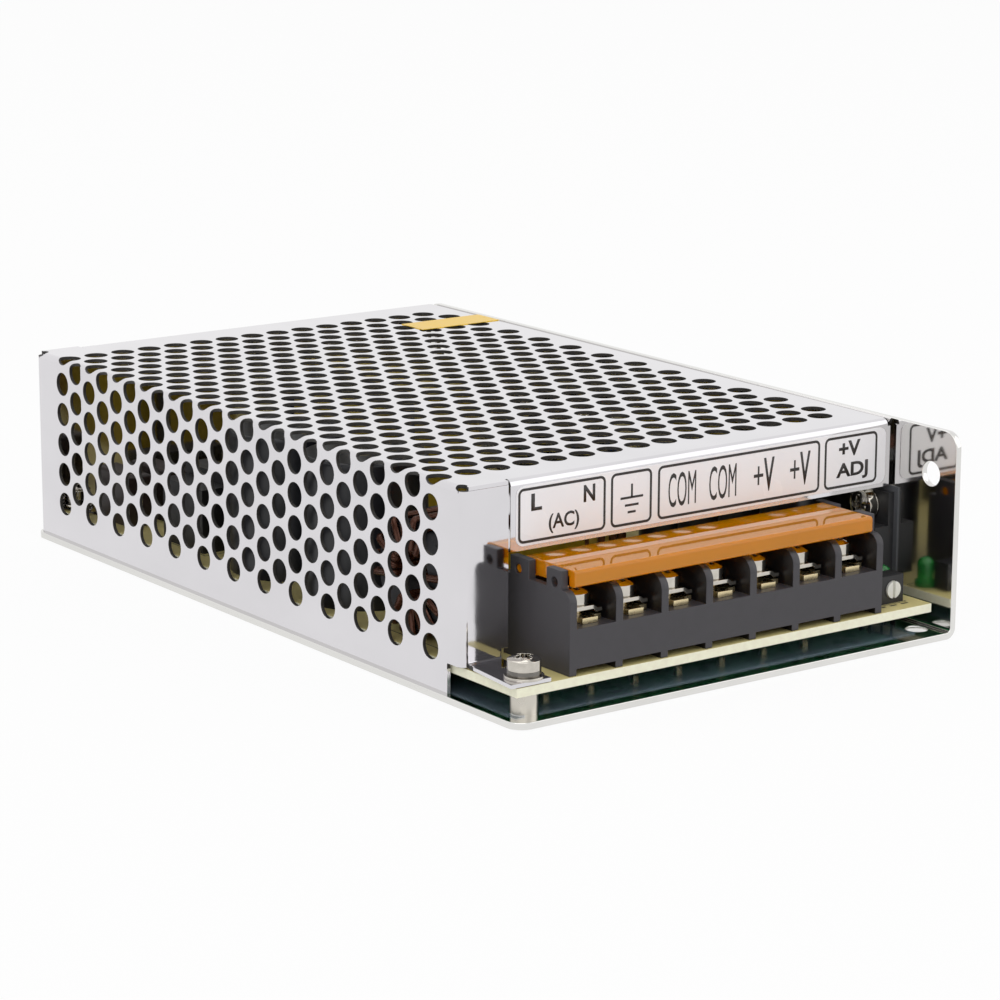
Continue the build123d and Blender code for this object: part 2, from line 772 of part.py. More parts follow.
for index, cell_x in enumerate(cell_places, start=1):
    with BuildPart() as terminal_screw:
        with Locations((cell_x, screw_row_y, head_seat)):
            add(terminal_head)
        with BuildSketch(Plane.XY.offset(head_seat)):
            with Locations((cell_x, screw_row_y)):
                Circle(terminal_shank_diameter / 2)
        extrude(amount=-(terminal_screw_reach - contact_thickness))
    terminal_screw.part.label = f"terminal_screw_{index}"
    export_step(terminal_screw.part, f"parts/terminal_screw_{index}.step")

    with BuildPart() as clamp_washer:
        with BuildSketch(Plane.XZ.offset(-screw_row_y)):
            with BuildLine():
                wing = clamp_size / 2
                crown = clamp_crown_width / 2
                FilletPolyline(
                    (cell_x - wing, clamp_bottom),
                    (cell_x - crown - clamp_crown, clamp_bottom),
                    (cell_x - crown, clamp_bottom + clamp_crown),
                    (cell_x + crown, clamp_bottom + clamp_crown),
                    (cell_x + crown + clamp_crown, clamp_bottom),
                    (cell_x + wing, clamp_bottom),
                    radius=small_corner / 2,
                )
                offset(amount=clamp_thickness, side=Side.LEFT)
            make_face()
        extrude(amount=clamp_size / 2, both=True)
        with Locations((cell_x, screw_row_y, head_seat)):
            Hole(clamp_bore_diameter / 2)
    clamp_washer.part.label = f"clamp_washer_{index}"
    export_step(clamp_washer.part, f"parts/clamp_washer_{index}.step")

# Terminal lid: a clear moulding that turns on two pins in the end plates
with BuildPart() as terminal_lid:
    lid_left = block_left + plate_thickness + lid_side_gap
    lid_right = block_right - plate_thickness - lid_side_gap
    lid_front_y = block_front + lid_front
    lid_top_z = board_top + lid_top
    with BuildSketch(Plane.YZ.offset(lid_left)):
        # flat top
        with Locations((lid_front_y, lid_top_z)):
            Rectangle(pivot_y - lid_front_y, lid_thickness, align=(Align.MIN, Align.MAX))
        # hanging front lip
        with Locations((lid_front_y, lid_top_z)):
            Rectangle(lid_lip_thickness, lid_lip_height, align=(Align.MIN, Align.MAX))
        # rounded knuckle round the pins
        with Locations((pivot_y, pivot_z)):
            Circle(pivot_boss_diameter / 2)
        fillet(vertices().group_by(Axis.X)[0], lid_lip_radius)
    extrude(amount=lid_right - lid_left)
    # end skirts
    skirt_front = lid_front_y + lid_skirt_front
    skirt_places = (lid_left, lid_right - lid_skirt_thickness)
    with BuildSketch(*[Plane.YZ.offset(x) for x in skirt_places]):
        with Locations((skirt_front, lid_top_z)):
            Rectangle(pivot_y - skirt_front, lid_skirt_height, align=(Align.MIN, Align.MAX))
    extrude(amount=lid_skirt_thickness)
    # pivot pins
    pin_reach = pivot_pin_reach + lid_side_gap
    with BuildSketch(Plane.YZ.offset(lid_left - pin_reach)):
        with Locations((pivot_y, pivot_z)):
            Circle(pivot_pin_diameter / 2)
    extrude(amount=lid_right - lid_left + 2 * pin_reach)
terminal_lid.part.label = "terminal_lid"
export_step(terminal_lid.part, "parts/terminal_lid.step")

# Output adjuster: body and turning rotor
with BuildPart() as trimmer_body:
    with BuildSketch(Plane.XZ.offset(-trimmer_front)):
        with Locations((trimmer_x, board_top)):
            Rectangle(trimmer_size, trimmer_size, align=(Align.CENTER, Align.MIN))
    extrude(amount=-trimmer_depth)
    with Locations(Plane((trimmer_x, trimmer_front, board_top + trimmer_size / 2), z_dir=(0, -1, 0))):
        Hole(rotor_diameter / 2 + fit_gap, depth=rotor_bore_depth)
trimmer_body.part.label = "trimmer_body"
export_step(trimmer_body.part, "parts/trimmer_body.step")

with BuildPart() as trimmer_rotor:
    rotor_back = trimmer_front + rotor_bore_depth - 2 * fit_gap
    with BuildSketch(Plane.XZ.offset(-rotor_back)):
        with Locations((trimmer_x, board_top + trimmer_size / 2)):
            Circle(rotor_diameter / 2)
    extrude(amount=rotor_length)
    with BuildSketch(Plane.XZ.offset(-rotor_back + rotor_length)):
        with Locations((trimmer_x, board_top + trimmer_size / 2)):
            Rectangle(rotor_slot_width, 2 * rotor_diameter)
    extrude(amount=-rotor_slot_depth, mode=Mode.SUBTRACT)
trimmer_rotor.part.label = "trimmer_rotor"
export_step(trimmer_rotor.part, "parts/trimmer_rotor.step")

# Power lamp: a light emitting diode with a domed lens
lamp_radius = lamp_diameter / 2
with BuildPart() as power_led:
    with BuildSketch(Plane.XY.offset(board_top)):
        with Locations((lamp_x, lamp_y)):
            Circle(lamp_flange_diameter / 2)
    extrude(amount=lamp_flange_height)
    with BuildSketch(Plane.XY.offset(board_top)):
        with Locations((lamp_x, lamp_y)):
            Circle(lamp_radius)
    extrude(amount=lamp_height - lamp_radius)
    with Locations((lamp_x, lamp_y, board_top + lamp_height - lamp_radius)):
        Sphere(lamp_radius)
power_led.part.label = "power_led"
export_step(power_led.part, "parts/power_led.step")

# Power devices screwed to the wall: the output diode at the front, two transistors at the rear
with BuildPart() as power_device:
    with BuildSketch(Plane.YZ.offset(tab_face)):
        with Locations((0, device_bottom)):
            Rectangle(device_width, device_height, align=(Align.CENTER, Align.MIN))
        with Locations((0, device_screw_height)):
            Circle(device_hole_diameter / 2, mode=Mode.SUBTRACT)
    extrude(amount=device_tab_thickness)
    with BuildSketch(Plane.YZ.offset(pad_face - device_thickness)):
        with Locations((0, device_bottom)):
            Rectangle(device_width, device_body_height, align=(Align.CENTER, Align.MIN))
    extrude(amount=device_thickness - device_tab_thickness)
    lead_top = device_bottom
    lead_bottom = board_bottom - pin_below_board
    with BuildSketch(Plane.XY.offset(lead_bottom)):
        with Locations(*[(lead_x, step * device_lead_pitch) for step in (-1, 0, 1)]):
            Rectangle(device_lead_thickness, device_lead_width)
    extrude(amount=lead_top - lead_bottom)

with BuildPart() as output_diode:
    with Locations((0, diode_y, 0)):
        add(power_device.part)
output_diode.part.label = "output_diode"
export_step(output_diode.part, "parts/output_diode.step")

with BuildPart() as switching_transistors:
    with Locations(*[(0, y, 0) for y in transistor_places]):
        add(power_device.part)
switching_transistors.part.label = "switching_transistors"
export_step(switching_transistors.part, "parts/switching_transistors.step")

with BuildPart() as insulating_pads:
    with BuildSketch(Plane.YZ.offset(pad_face)):
        with Locations(*[(y, device_bottom - pad_margin) for y in device_places]):
            pad_size = (device_width + 2 * pad_margin, device_height + 2 * pad_margin)
            Rectangle(*pad_size, align=(Align.CENTER, Align.MIN))
        with Locations(*[(y, device_screw_height) for y in device_places]):
            Circle(device_hole_diameter / 2, mode=Mode.SUBTRACT)
    extrude(amount=pad_thickness)
insulating_pads.part.label = "insulating_pads"
export_step(insulating_pads.part, "parts/insulating_pads.step")

with BuildPart() as device_washers:
    with BuildSketch(Plane.YZ.offset(tab_face - flat_washer_thickness)):
        with Locations(*[(y, device_screw_height) for y in device_places]):
            Circle(screw_head_diameter / 2)
            Circle(screw_hole_radius, mode=Mode.SUBTRACT)
    extrude(amount=flat_washer_thickness)
device_washers.part.label = "device_washers"
export_step(device_washers.part, "parts/device_washers.step")

with BuildPart() as device_screws:
    screw_seat = tab_face - flat_washer_thickness
    seat_centres = [(screw_seat, y, device_screw_height) for y in device_places]
    device_screw_planes = [Plane(centre, z_dir=(-1, 0, 0)) for centre in seat_centres]
    with Locations(*device_screw_planes):
        add(screw_head)
    with BuildSketch(*device_screw_planes):
        Circle(screw_diameter / 2)
    extrude(amount=-(base_right - screw_seat - rounded_edge))
device_screws.part.label = "device_screws"
export_step(device_screws.part, "parts/device_screws.step")


def standing_cans(places, diameter, height):
    """Round capacitor cans that stand on the board, with rolled top edges."""
    with BuildPart() as cans:
        with BuildSketch(Plane.XY.offset(board_top)):
            with Locations(*places):
                Circle(diameter / 2)
        extrude(amount=height)
        fillet(cans.faces().filter_by(Axis.Z).group_by(Axis.Z)[-1].edges(), rounded_edge)
    return cans.part


bulk_places = [(bulk_capacitor_x, y) for y in bulk_capacitor_places]
with BuildPart() as bulk_capacitors:
    add(standing_cans(bulk_places, bulk_capacitor_diameter, bulk_capacitor_height))
bulk_capacitors.part.label = "bulk_capacitors"
export_step(bulk_capacitors.part, "parts/bulk_capacitors.step")

output_places = [(output_capacitor_x, y) for y in output_capacitor_places]
with BuildPart() as output_capacitors:
    add(standing_cans(output_places, output_capacitor_diameter, output_capacitor_height))
output_capacitors.part.label = "output_capacitors"
export_step(output_capacitors.part, "parts/output_capacitors.step")

small_places = [(small_capacitor_x, y) for y in small_capacitor_places]
with BuildPart() as small_capacitors:
    add(standing_cans(small_places, small_capacitor_diameter, small_capacitor_height))
small_capacitors.part.label = "small_capacitors"
export_step(small_capacitors.part, "parts/small_capacitors.step")

# Fuse: a glass tube with two metal caps, its leads soldered to the board
fuse_z = board_top + fuse_lift + fuse_diameter / 2 + fuse_cap_lip
with BuildPart() as fuse:
    with BuildSketch(Plane.YZ.offset(fuse_x - fuse_length / 2)):
        with Locations((fuse_y, fuse_z)):
            Circle(fuse_diameter / 2)
    extrude(amount=fuse_length)
    cap_places = (fuse_x - fuse_length / 2, fuse_x + fuse_length / 2 - fuse_cap_length)
    with BuildSketch(*[Plane.YZ.offset(x) for x in cap_places]):
        with Locations((fuse_y, fuse_z)):
            Circle(fuse_diameter / 2 + fuse_cap_lip)
    extrude(amount=fuse_cap_length)
    with BuildSketch(Plane.XY.offset(board_top)):
        with Locations(*[(x + fuse_cap_length / 2, fuse_y) for x in cap_places]):
            Circle(fuse_lead_diameter / 2)
    extrude(amount=fuse_lift + fuse_cap_lip)
fuse.part.label = "fuse"
export_step(fuse.part, "parts/fuse.step")

# Line choke: a ring core that stands on the board, with two windings
line_choke_z = board_top + line_choke_core_outer / 2 + line_choke_wire
line_choke_plane = Plane((line_choke_x, line_choke_y, line_choke_z), z_dir=(1, 0, 0), x_dir=(0, 1, 0))
with BuildPart() as line_choke_core:
    with BuildSketch(line_choke_plane.offset(-line_choke_core_width / 2)):
        Circle(line_choke_core_outer / 2)
        Circle(line_choke_core_inner / 2, mode=Mode.SUBTRACT)
    extrude(amount=line_choke_core_width)
line_choke_core.part.label = "line_choke_core"
export_step(line_choke_core.part, "parts/line_choke_core.step")


def ring_winding(outer, inner, width, wire, arc):
    """Winding laid round a ring core about Z, as a closed sleeve over part of the ring."""
    section_width = (outer - inner) / 2 + 2 * fit_gap
    section_height = width + 2 * fit_gap
    with BuildPart() as winding:
        with BuildSketch(Plane.XZ):
            with Locations(((outer + inner) / 4, 0)):
                RectangleRounded(section_width + 2 * wire, section_height + 2 * wire, wire)
                Rectangle(section_width, section_height, mode=Mode.SUBTRACT)
        revolve(axis=Axis.Z, revolution_arc=arc)
    return winding.part


half_winding = ring_winding(
    line_choke_core_outer, line_choke_core_inner, line_choke_core_width, line_choke_wire, line_choke_arc
)
with BuildPart() as line_choke_windings:
    with Locations(line_choke_plane):
        with PolarLocations(radius=0, count=2, start_angle=-line_choke_arc / 2):
            add(half_winding)
line_choke_windings.part.label = "line_choke_windings"
export_step(line_choke_windings.part, "parts/line_choke_windings.step")

# Interference capacitor in a plain box
with BuildPart() as x_capacitor:
    with BuildSketch(Plane.XY.offset(board_top)):
        with Locations((box_capacitor_x, box_capacitor_y)):
            Rectangle(box_capacitor_size[0], box_capacitor_size[1])
    extrude(amount=box_capacitor_size[2])
    fillet(x_capacitor.edges().group_by(Axis.Z)[-1], rounded_edge)
x_capacitor.part.label = "x_capacitor"
export_step(x_capacitor.part, "parts/x_capacitor.step")

# Disc capacitors and the inrush thermistor, standing on edge
with BuildPart() as y_capacitors:
    for y in disc_capacitor_places:
        with BuildSketch(Plane.XZ.offset(-y)):
            with Locations((disc_capacitor_x, board_top + disc_capacitor_diameter / 2)):
                Circle(disc_capacitor_diameter / 2)
        extrude(amount=disc_capacitor_thickness / 2, both=True)
    fillet(y_capacitors.edges().filter_by(GeomType.CIRCLE), bead_radius)
y_capacitors.part.label = "y_capacitors"
export_step(y_capacitors.part, "parts/y_capacitors.step")

with BuildPart() as thermistor:
    with BuildSketch(Plane.XZ.offset(-thermistor_y)):
        with Locations((thermistor_x, board_top + thermistor_diameter / 2)):
            Circle(thermistor_diameter / 2)
    extrude(amount=thermistor_thickness / 2, both=True)
    fillet(thermistor.edges().filter_by(GeomType.CIRCLE), bead_radius)
thermistor.part.label = "thermistor"
export_step(thermistor.part, "parts/thermistor.step")

# Bridge rectifier: a flat block with one bevelled corner
with BuildPart() as bridge_rectifier:
    with BuildSketch(Plane.XZ.offset(-bridge_y)):
        with Locations((bridge_x, board_top)):
            Rectangle(bridge_size[0], bridge_size[2], align=(Align.CENTER, Align.MIN))
        chamfer(vertices().group_by(Axis.Y)[-1].sort_by(Axis.X)[-1], bridge_bevel)
    extrude(amount=bridge_size[1] / 2, both=True)
bridge_rectifier.part.label = "bridge_rectifier"
export_step(bridge_rectifier.part, "parts/bridge_rectifier.step")

# Main transformer: two ferrite halves round a taped coil
with BuildPart() as transformer_core:
    with BuildSketch(Plane.YZ.offset(transformer_x)):
        with Locations((transformer_y, core_bottom + core_height / 2)):
            Rectangle(core_length, core_height)
            Rectangle(core_length - 2 * core_leg, core_window_height, mode=Mode.SUBTRACT)
            Rectangle(core_pole, core_window_height)
    extrude(amount=core_width / 2, both=True)
    split(bisect_by=Plane.XZ.offset(-transformer_y), keep=Keep.BOTH)
transformer_core.part.label = "transformer_core"
export_step(transformer_core.part, "parts/transformer_core.step")

with BuildPart() as transformer_winding:
    coil_length = core_length - 2 * core_leg - 2 * fit_gap
    coil_height = core_window_height - 2 * fit_gap
    coil_bottom = core_bottom + (core_height - coil_height) / 2
    with BuildSketch(Plane.XY.offset(coil_bottom)):
        with Locations((transformer_x, transformer_y)):
            RectangleRounded(coil_width, coil_length, bead_radius)
            Rectangle(core_width + 2 * fit_gap, core_pole + 2 * fit_gap, mode=Mode.SUBTRACT)
    extrude(amount=coil_height)
    # bobbin shoulders that carry the transformer on the board
    with BuildSketch(Plane.XY.offset(board_top)):
        for side in (-1, 1):
            with Locations((transformer_x + side * (coil_width + core_width) / 4, transformer_y)):
                Rectangle((coil_width - core_width) / 2 - 2 * fit_gap, coil_length)
    extrude(amount=coil_bottom - board_top)
transformer_winding.part.label = "transformer_winding"
export_step(transformer_winding.part, "parts/transformer_winding.step")

with BuildPart() as transformer_tape:
    with BuildSketch(Plane.YZ.offset(transformer_x)):
        with Locations((transformer_y, core_bottom + core_height / 2)):
            Rectangle(core_length + 2 * coil_tape, core_height + 2 * coil_tape)
            Rectangle(core_length, core_height, mode=Mode.SUBTRACT)
    extrude(amount=core_width / 2 - fit_gap, both=True)
transformer_tape.part.label = "transformer_tape"
export_step(transformer_tape.part, "parts/transformer_tape.step")

# Driver transformer: a small taped coil in its core, one sealed piece
with BuildPart() as driver_transformer:
    with BuildSketch(Plane.XY.offset(board_top)):
        with Locations((driver_x, driver_y)):
            Rectangle(driver_size, driver_size - 2 * bead_radius)
    extrude(amount=driver_height - 2 * bead_radius)
    with BuildSketch(Plane.XY.offset(board_top)):
        with Locations((driver_x, driver_y)):
            Rectangle(driver_core_width, driver_size)
    extrude(amount=driver_height)
driver_transformer.part.label = "driver_transformer"
export_step(driver_transformer.part, "parts/driver_transformer.step")

# Output choke: a ring core lying on the board, wound nearly all the way round
choke_plane = Plane((choke_x, choke_y, board_top + choke_core_height / 2 + choke_wire + fit_gap))
with BuildPart() as output_choke_core:
    with BuildSketch(choke_plane.offset(-choke_core_height / 2)):
        Circle(choke_core_outer / 2)
        Circle(choke_core_inner / 2, mode=Mode.SUBTRACT)
    extrude(amount=choke_core_height)
output_choke_core.part.label = "output_choke_core"
export_step(output_choke_core.part, "parts/output_choke_core.step")

choke_sleeve = ring_winding(choke_core_outer, choke_core_inner, choke_core_height, choke_wire, choke_arc)
with BuildPart() as output_choke_winding:
    with Locations(choke_plane):
        add(choke_sleeve)
output_choke_winding.part.label = "output_choke_winding"
export_step(output_choke_winding.part, "parts/output_choke_winding.step")

# Control chip in a sixteen leg package
with BuildPart() as control_chip:
    with BuildSketch(Plane.XY.offset(board_top + chip_lift)):
        with Locations((chip_x, chip_y)):
            Rectangle(chip_size[0], chip_size[1])
    extrude(amount=chip_size[2])
    leg_span = chip_size[1] + 2 * chip_leg_width
    with BuildSketch(Plane.XY.offset(board_top)):
        with Locations((chip_x, chip_y)):
            with GridLocations(chip_leg_pitch, leg_span - chip_leg_width, chip_legs, 2):
                Rectangle(chip_leg_width, chip_leg_width)
    extrude(amount=chip_lift + chip_size[2] / 2)
control_chip.part.label = "control_chip"
export_step(control_chip.part, "parts/control_chip.step")

# Axial resistors lying above the board on their bent leads
resistor_z = board_top + resistor_diameter / 2 + chip_lift
with BuildPart() as resistors:
    with BuildSketch(Plane.YZ.offset(resistor_x)):
        with Locations(*[(y, resistor_z) for y in resistor_places]):
            Circle(resistor_diameter / 2)
    extrude(amount=resistor_length / 2, both=True)
    for y in resistor_places:
        with BuildLine():
            FilletPolyline(
                (resistor_x - resistor_span / 2, y, board_top),
                (resistor_x - resistor_span / 2, y, resistor_z),
                (resistor_x + resistor_span / 2, y, resistor_z),
                (resistor_x + resistor_span / 2, y, board_top),
                radius=resistor_lead_diameter,
            )
        with BuildSketch(Plane((resistor_x - resistor_span / 2, y, board_top))):
            Circle(resistor_lead_diameter / 2)
        sweep()
resistors.part.label = "resistors"
export_step(resistors.part, "parts/resistors.step")

# Film capacitors at the rear left
with BuildPart() as film_capacitors:
    with BuildSketch(Plane.XY.offset(board_top)):
        with Locations(*[(x, film_capacitor_y) for x in film_capacitor_places]):
            Rectangle(film_capacitor_size[0], film_capacitor_size[1])
    extrude(amount=film_capacitor_size[2])
    fillet(film_capacitors.edges().group_by(Axis.Z)[-1], rounded_edge)
film_capacitors.part.label = "film_capacitors"
export_step(film_capacitors.part, "parts/film_capacitors.step")
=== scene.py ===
# Enclosed switching power supply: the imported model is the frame, and this script
# dresses it, one section for each piece, in the order in which it is put together.
import math

import bmesh
import bpy
import numpy as np
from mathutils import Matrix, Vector


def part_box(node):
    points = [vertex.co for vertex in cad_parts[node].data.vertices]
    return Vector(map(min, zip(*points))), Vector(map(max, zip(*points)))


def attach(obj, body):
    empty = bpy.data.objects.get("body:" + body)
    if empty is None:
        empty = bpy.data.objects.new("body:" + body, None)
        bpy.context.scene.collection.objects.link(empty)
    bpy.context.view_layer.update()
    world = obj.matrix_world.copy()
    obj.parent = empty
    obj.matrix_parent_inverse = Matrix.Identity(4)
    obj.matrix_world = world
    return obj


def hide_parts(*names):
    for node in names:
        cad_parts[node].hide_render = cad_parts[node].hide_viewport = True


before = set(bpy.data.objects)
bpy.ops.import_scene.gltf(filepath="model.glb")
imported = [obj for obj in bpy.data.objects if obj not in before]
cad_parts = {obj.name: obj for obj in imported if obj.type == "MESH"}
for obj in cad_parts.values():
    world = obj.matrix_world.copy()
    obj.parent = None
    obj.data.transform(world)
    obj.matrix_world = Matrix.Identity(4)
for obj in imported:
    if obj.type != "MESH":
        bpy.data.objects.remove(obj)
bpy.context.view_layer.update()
mm = 0.001

# Chassis: one sheet of bright aluminium folded to a base and the right wall, its corners
# rounded and its holes punched before the fold. The copy has its sharp edges eased, as
# tumbling leaves them, and long rolling marks and handling scuffs in its finish.


def tint(red, green, blue):
    """A colour given in display levels from 0 to 255, as the linear values Blender wants."""
    levels = [level / 255 for level in (red, green, blue)]
    return [((v + 0.055) / 1.055) ** 2.4 if v > 0.04 else v / 12.92 for v in levels] + [1.0]


def finish(name, colour, metallic=0.0, roughness=0.5, shade=0.06, patch=120.0, stretch=(1, 1, 1),
           grain=2500.0, relief=0.1, scuff=0.08, **sockets):
    """A surface whose tone, gloss and relief are broken up by noise on object coordinates."""
    material = bpy.data.materials.new(name)
    material.use_nodes = True
    nodes, links = material.node_tree.nodes, material.node_tree.links
    surface = nodes["Principled BSDF"]
    surface.inputs["Metallic"].default_value = metallic
    for socket, value in sockets.items():
        surface.inputs[socket.replace("_", " ")].default_value = value
    place = nodes.new("ShaderNodeTexCoord")
    turn = nodes.new("ShaderNodeMapping")
    turn.inputs["Scale"].default_value = stretch
    links.new(place.outputs["Object"], turn.inputs["Vector"])
    patches = nodes.new("ShaderNodeTexNoise")
    patches.inputs["Scale"].default_value = patch
    patches.inputs["Detail"].default_value = 5.0
    links.new(turn.outputs["Vector"], patches.inputs["Vector"])
    tones = nodes.new("ShaderNodeValToRGB")
    tones.color_ramp.elements[0].position = 0.3
    tones.color_ramp.elements[1].position = 0.7
    tones.color_ramp.elements[0].color = [c * (1 - shade) for c in colour[:3]] + [1.0]
    tones.color_ramp.elements[1].color = [min(c * (1 + shade), 1.0) for c in colour[:3]] + [1.0]
    links.new(patches.outputs["Fac"], tones.inputs["Fac"])
    links.new(tones.outputs["Color"], surface.inputs["Base Color"])
    gloss = nodes.new("ShaderNodeMapRange")
    gloss.inputs["From Min"].default_value = 0.3
    gloss.inputs["From Max"].default_value = 0.7
    gloss.inputs["To Min"].default_value = roughness
    gloss.inputs["To Max"].default_value = roughness + scuff
    links.new(patches.outputs["Fac"], gloss.inputs["Value"])
    links.new(gloss.outputs["Result"], surface.inputs["Roughness"])
    fine = nodes.new("ShaderNodeTexNoise")
    fine.inputs["Scale"].default_value = grain
    fine.inputs["Detail"].default_value = 3.0
    links.new(turn.outputs["Vector"], fine.inputs["Vector"])
    bump = nodes.new("ShaderNodeBump")
    bump.inputs["Strength"].default_value = relief
    bump.inputs["Distance"].default_value = 0.02 * mm
    links.new(fine.outputs["Fac"], bump.inputs["Height"])
    links.new(bump.outputs["Normal"], surface.inputs["Normal"])
    return material


def coat(node, material):
    """Gives a CAD node, or the piece that stands for it, its finish."""
    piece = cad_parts.get(node) if isinstance(node, str) else node
    if not piece.material_slots:
        piece.data.materials.append(material)
    for place in piece.material_slots:
        place.material = material


def only(piece):
    """Makes a piece the one selected object."""
    bpy.ops.object.select_all(action="DESELECT")
    piece.select_set(True)
    bpy.context.view_layer.objects.active = piece


def apply_modifiers(piece):
    """Makes every modifier of a piece part of its mesh."""
    only(piece)
    for modifier in list(piece.modifiers):
        bpy.ops.object.modifier_apply(modifier=modifier.name)


def smooth(piece, angle=35):
    """Shades the round faces of a piece smooth and keeps its edges sharp and its flats true."""
    only(piece)
    bpy.ops.object.shade_smooth_by_angle(angle=math.radians(angle))
    flats = piece.modifiers.new("true_flats", "WEIGHTED_NORMAL")
    flats.keep_sharp = True
    apply_modifiers(piece)


weld_reach = 0.001 * mm
flat_turn, edge_turn = math.radians(1), math.radians(40)


def ease(node, name, material, edge, body="case"):
    """Copies a CAD node with its sharp edges rounded and puts the copy in the node's place."""
    piece = bpy.data.objects.new(name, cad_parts[node].data.copy())
    bpy.context.scene.collection.objects.link(piece)
    piece.data.materials.clear()
    only(piece)
    bpy.ops.object.mode_set(mode="EDIT")
    bpy.ops.mesh.select_all(action="SELECT")
    bpy.ops.mesh.remove_doubles(threshold=weld_reach)
    bpy.ops.mesh.dissolve_limited(angle_limit=flat_turn)
    bpy.ops.object.mode_set(mode="OBJECT")
    bevel = piece.modifiers.new("eased_edges", "BEVEL")
    bevel.width = edge
    bevel.segments = 2
    bevel.limit_method = "ANGLE"
    bevel.angle_limit = edge_turn
    bevel.use_clamp_overlap = False
    apply_modifiers(piece)
    smooth(piece)
    coat(piece, material)
    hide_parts(node)
    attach(piece, body)
    return piece


aluminium = finish("bright_rolled_aluminium", tint(222, 221, 218), metallic=1.0, roughness=0.05,
                   shade=0.05, patch=60.0, stretch=(1, 0.15, 1), grain=900.0, relief=0.08, scuff=0.08)
tumbled_edge = 0.12 * mm
ease("chassis", "chassis_sheet", aluminium, tumbled_edge)

# Cover: one sheet of zinc-plated steel, cut and punched flat with its staggered holes and
# then folded to the top, the left side, the label flange, the rear flange and two tabs
# with feet. Its feet sit on the board's posts, and two screws hold it to the wall.
cover_low, cover_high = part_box("cover")
sheet_thickness = 0.65 * mm
bend_radius = 1.2 * mm
foot_bend_radius = 0.4 * mm
bend_steps = 8
left, right, top = cover_low.x, cover_high.x, cover_high.z
front, rear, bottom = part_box("terminal_label")[1].y, cover_high.y, cover_low.z
bend_left, bend_right = left + bend_radius, right - bend_radius
bend_front, bend_rear = front + bend_radius, rear - bend_radius
arc = bend_radius * math.pi / 2
foot_arc = foot_bend_radius * math.pi / 2


def down(height):
    """How far a point at this height lies from its fold line on the flat sheet."""
    return arc + top - bend_radius - height


def drawn(name, loops, height=0.0):
    """A flat filled shape with holes, drawn as closed lines and made a mesh."""
    drawing = bpy.data.curves.new(name, "CURVE")
    drawing.dimensions = "2D"
    drawing.fill_mode = "BOTH"
    for loop in loops:
        line = drawing.splines.new("POLY")
        line.points.add(len(loop) - 1)
        for point, (x, y) in zip(line.points, loop):
            point.co = (x, y, 0.0, 1.0)
        line.use_cyclic_u = True
    piece = bpy.data.objects.new(name, drawing)
    bpy.context.scene.collection.objects.link(piece)
    piece.location.z = height
    only(piece)
    bpy.ops.object.convert(target="MESH")
    bpy.ops.object.transform_apply(location=True, rotation=True, scale=True)
    return piece


def ring(x, y, radius, steps, start=0.0, end=2 * math.pi, closed=True):
    """Points round a circle or an arc of it."""
    count = steps if closed else steps + 1
    angles = [start + (end - start) * step / steps for step in range(count)]
    return [(x + radius * math.cos(a), y + radius * math.sin(a)) for a in angles]


# heights above the base, widths and gaps of the folded parts
tab_width, seam_gap = 9.25 * mm, 0.4 * mm
wall_gap = 1.95 * mm
label_flange_low = 24.7 * mm
side_flange_depth = 10.0 * mm
side_flange_front, side_flange_rear = -58.0 * mm, 66.0 * mm
tab_low, foot_height, notch_height = 8.7 * mm, 7.5 * mm, 6.6 * mm
notch_rear = -59.2 * mm
foot_width, rear_foot_reach = 6.75 * mm, 12.4 * mm
relief_radius, relief_drop, relief_inset = 1.0 * mm, 0.2 * mm, 0.41 * mm
relief_steps = 16
slit = 0.05 * mm

# where those lie on the flat sheet
seam = left + tab_width
flange_left, flange_right = seam + seam_gap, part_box("chassis")[1].x - wall_gap
label_drop, rear_drop = down(label_flange_low), down(bottom)
side_edge, side_bottom = bend_left - arc, bend_left - down(bottom)
flange_edge, flange_bottom = bend_right + arc, bend_right + down(top - side_flange_depth)
tab_reach = arc + seam - bend_left
tab_bottom, foot_line = bend_left - down(tab_low), bend_left - down(foot_height)
foot_inner, foot_outer = arc, arc + foot_width
front_foot_end = foot_line - foot_arc - (front - foot_bend_radius - cover_low.y)
rear_foot_end = foot_line - arc - rear_foot_reach
notch = (bend_left - down(notch_height), notch_rear)
relief_x = bend_left - relief_inset
strip_angle = -math.acos((bend_left - relief_x) / relief_radius)
fold_angle = math.pi + math.asin(relief_drop / relief_radius)
front_relief = ring(relief_x, bend_front + relief_drop, relief_radius, relief_steps,
                    strip_angle, fold_angle, False)
rear_relief = [(x, bend_front + bend_rear - y) for x, y in front_relief]

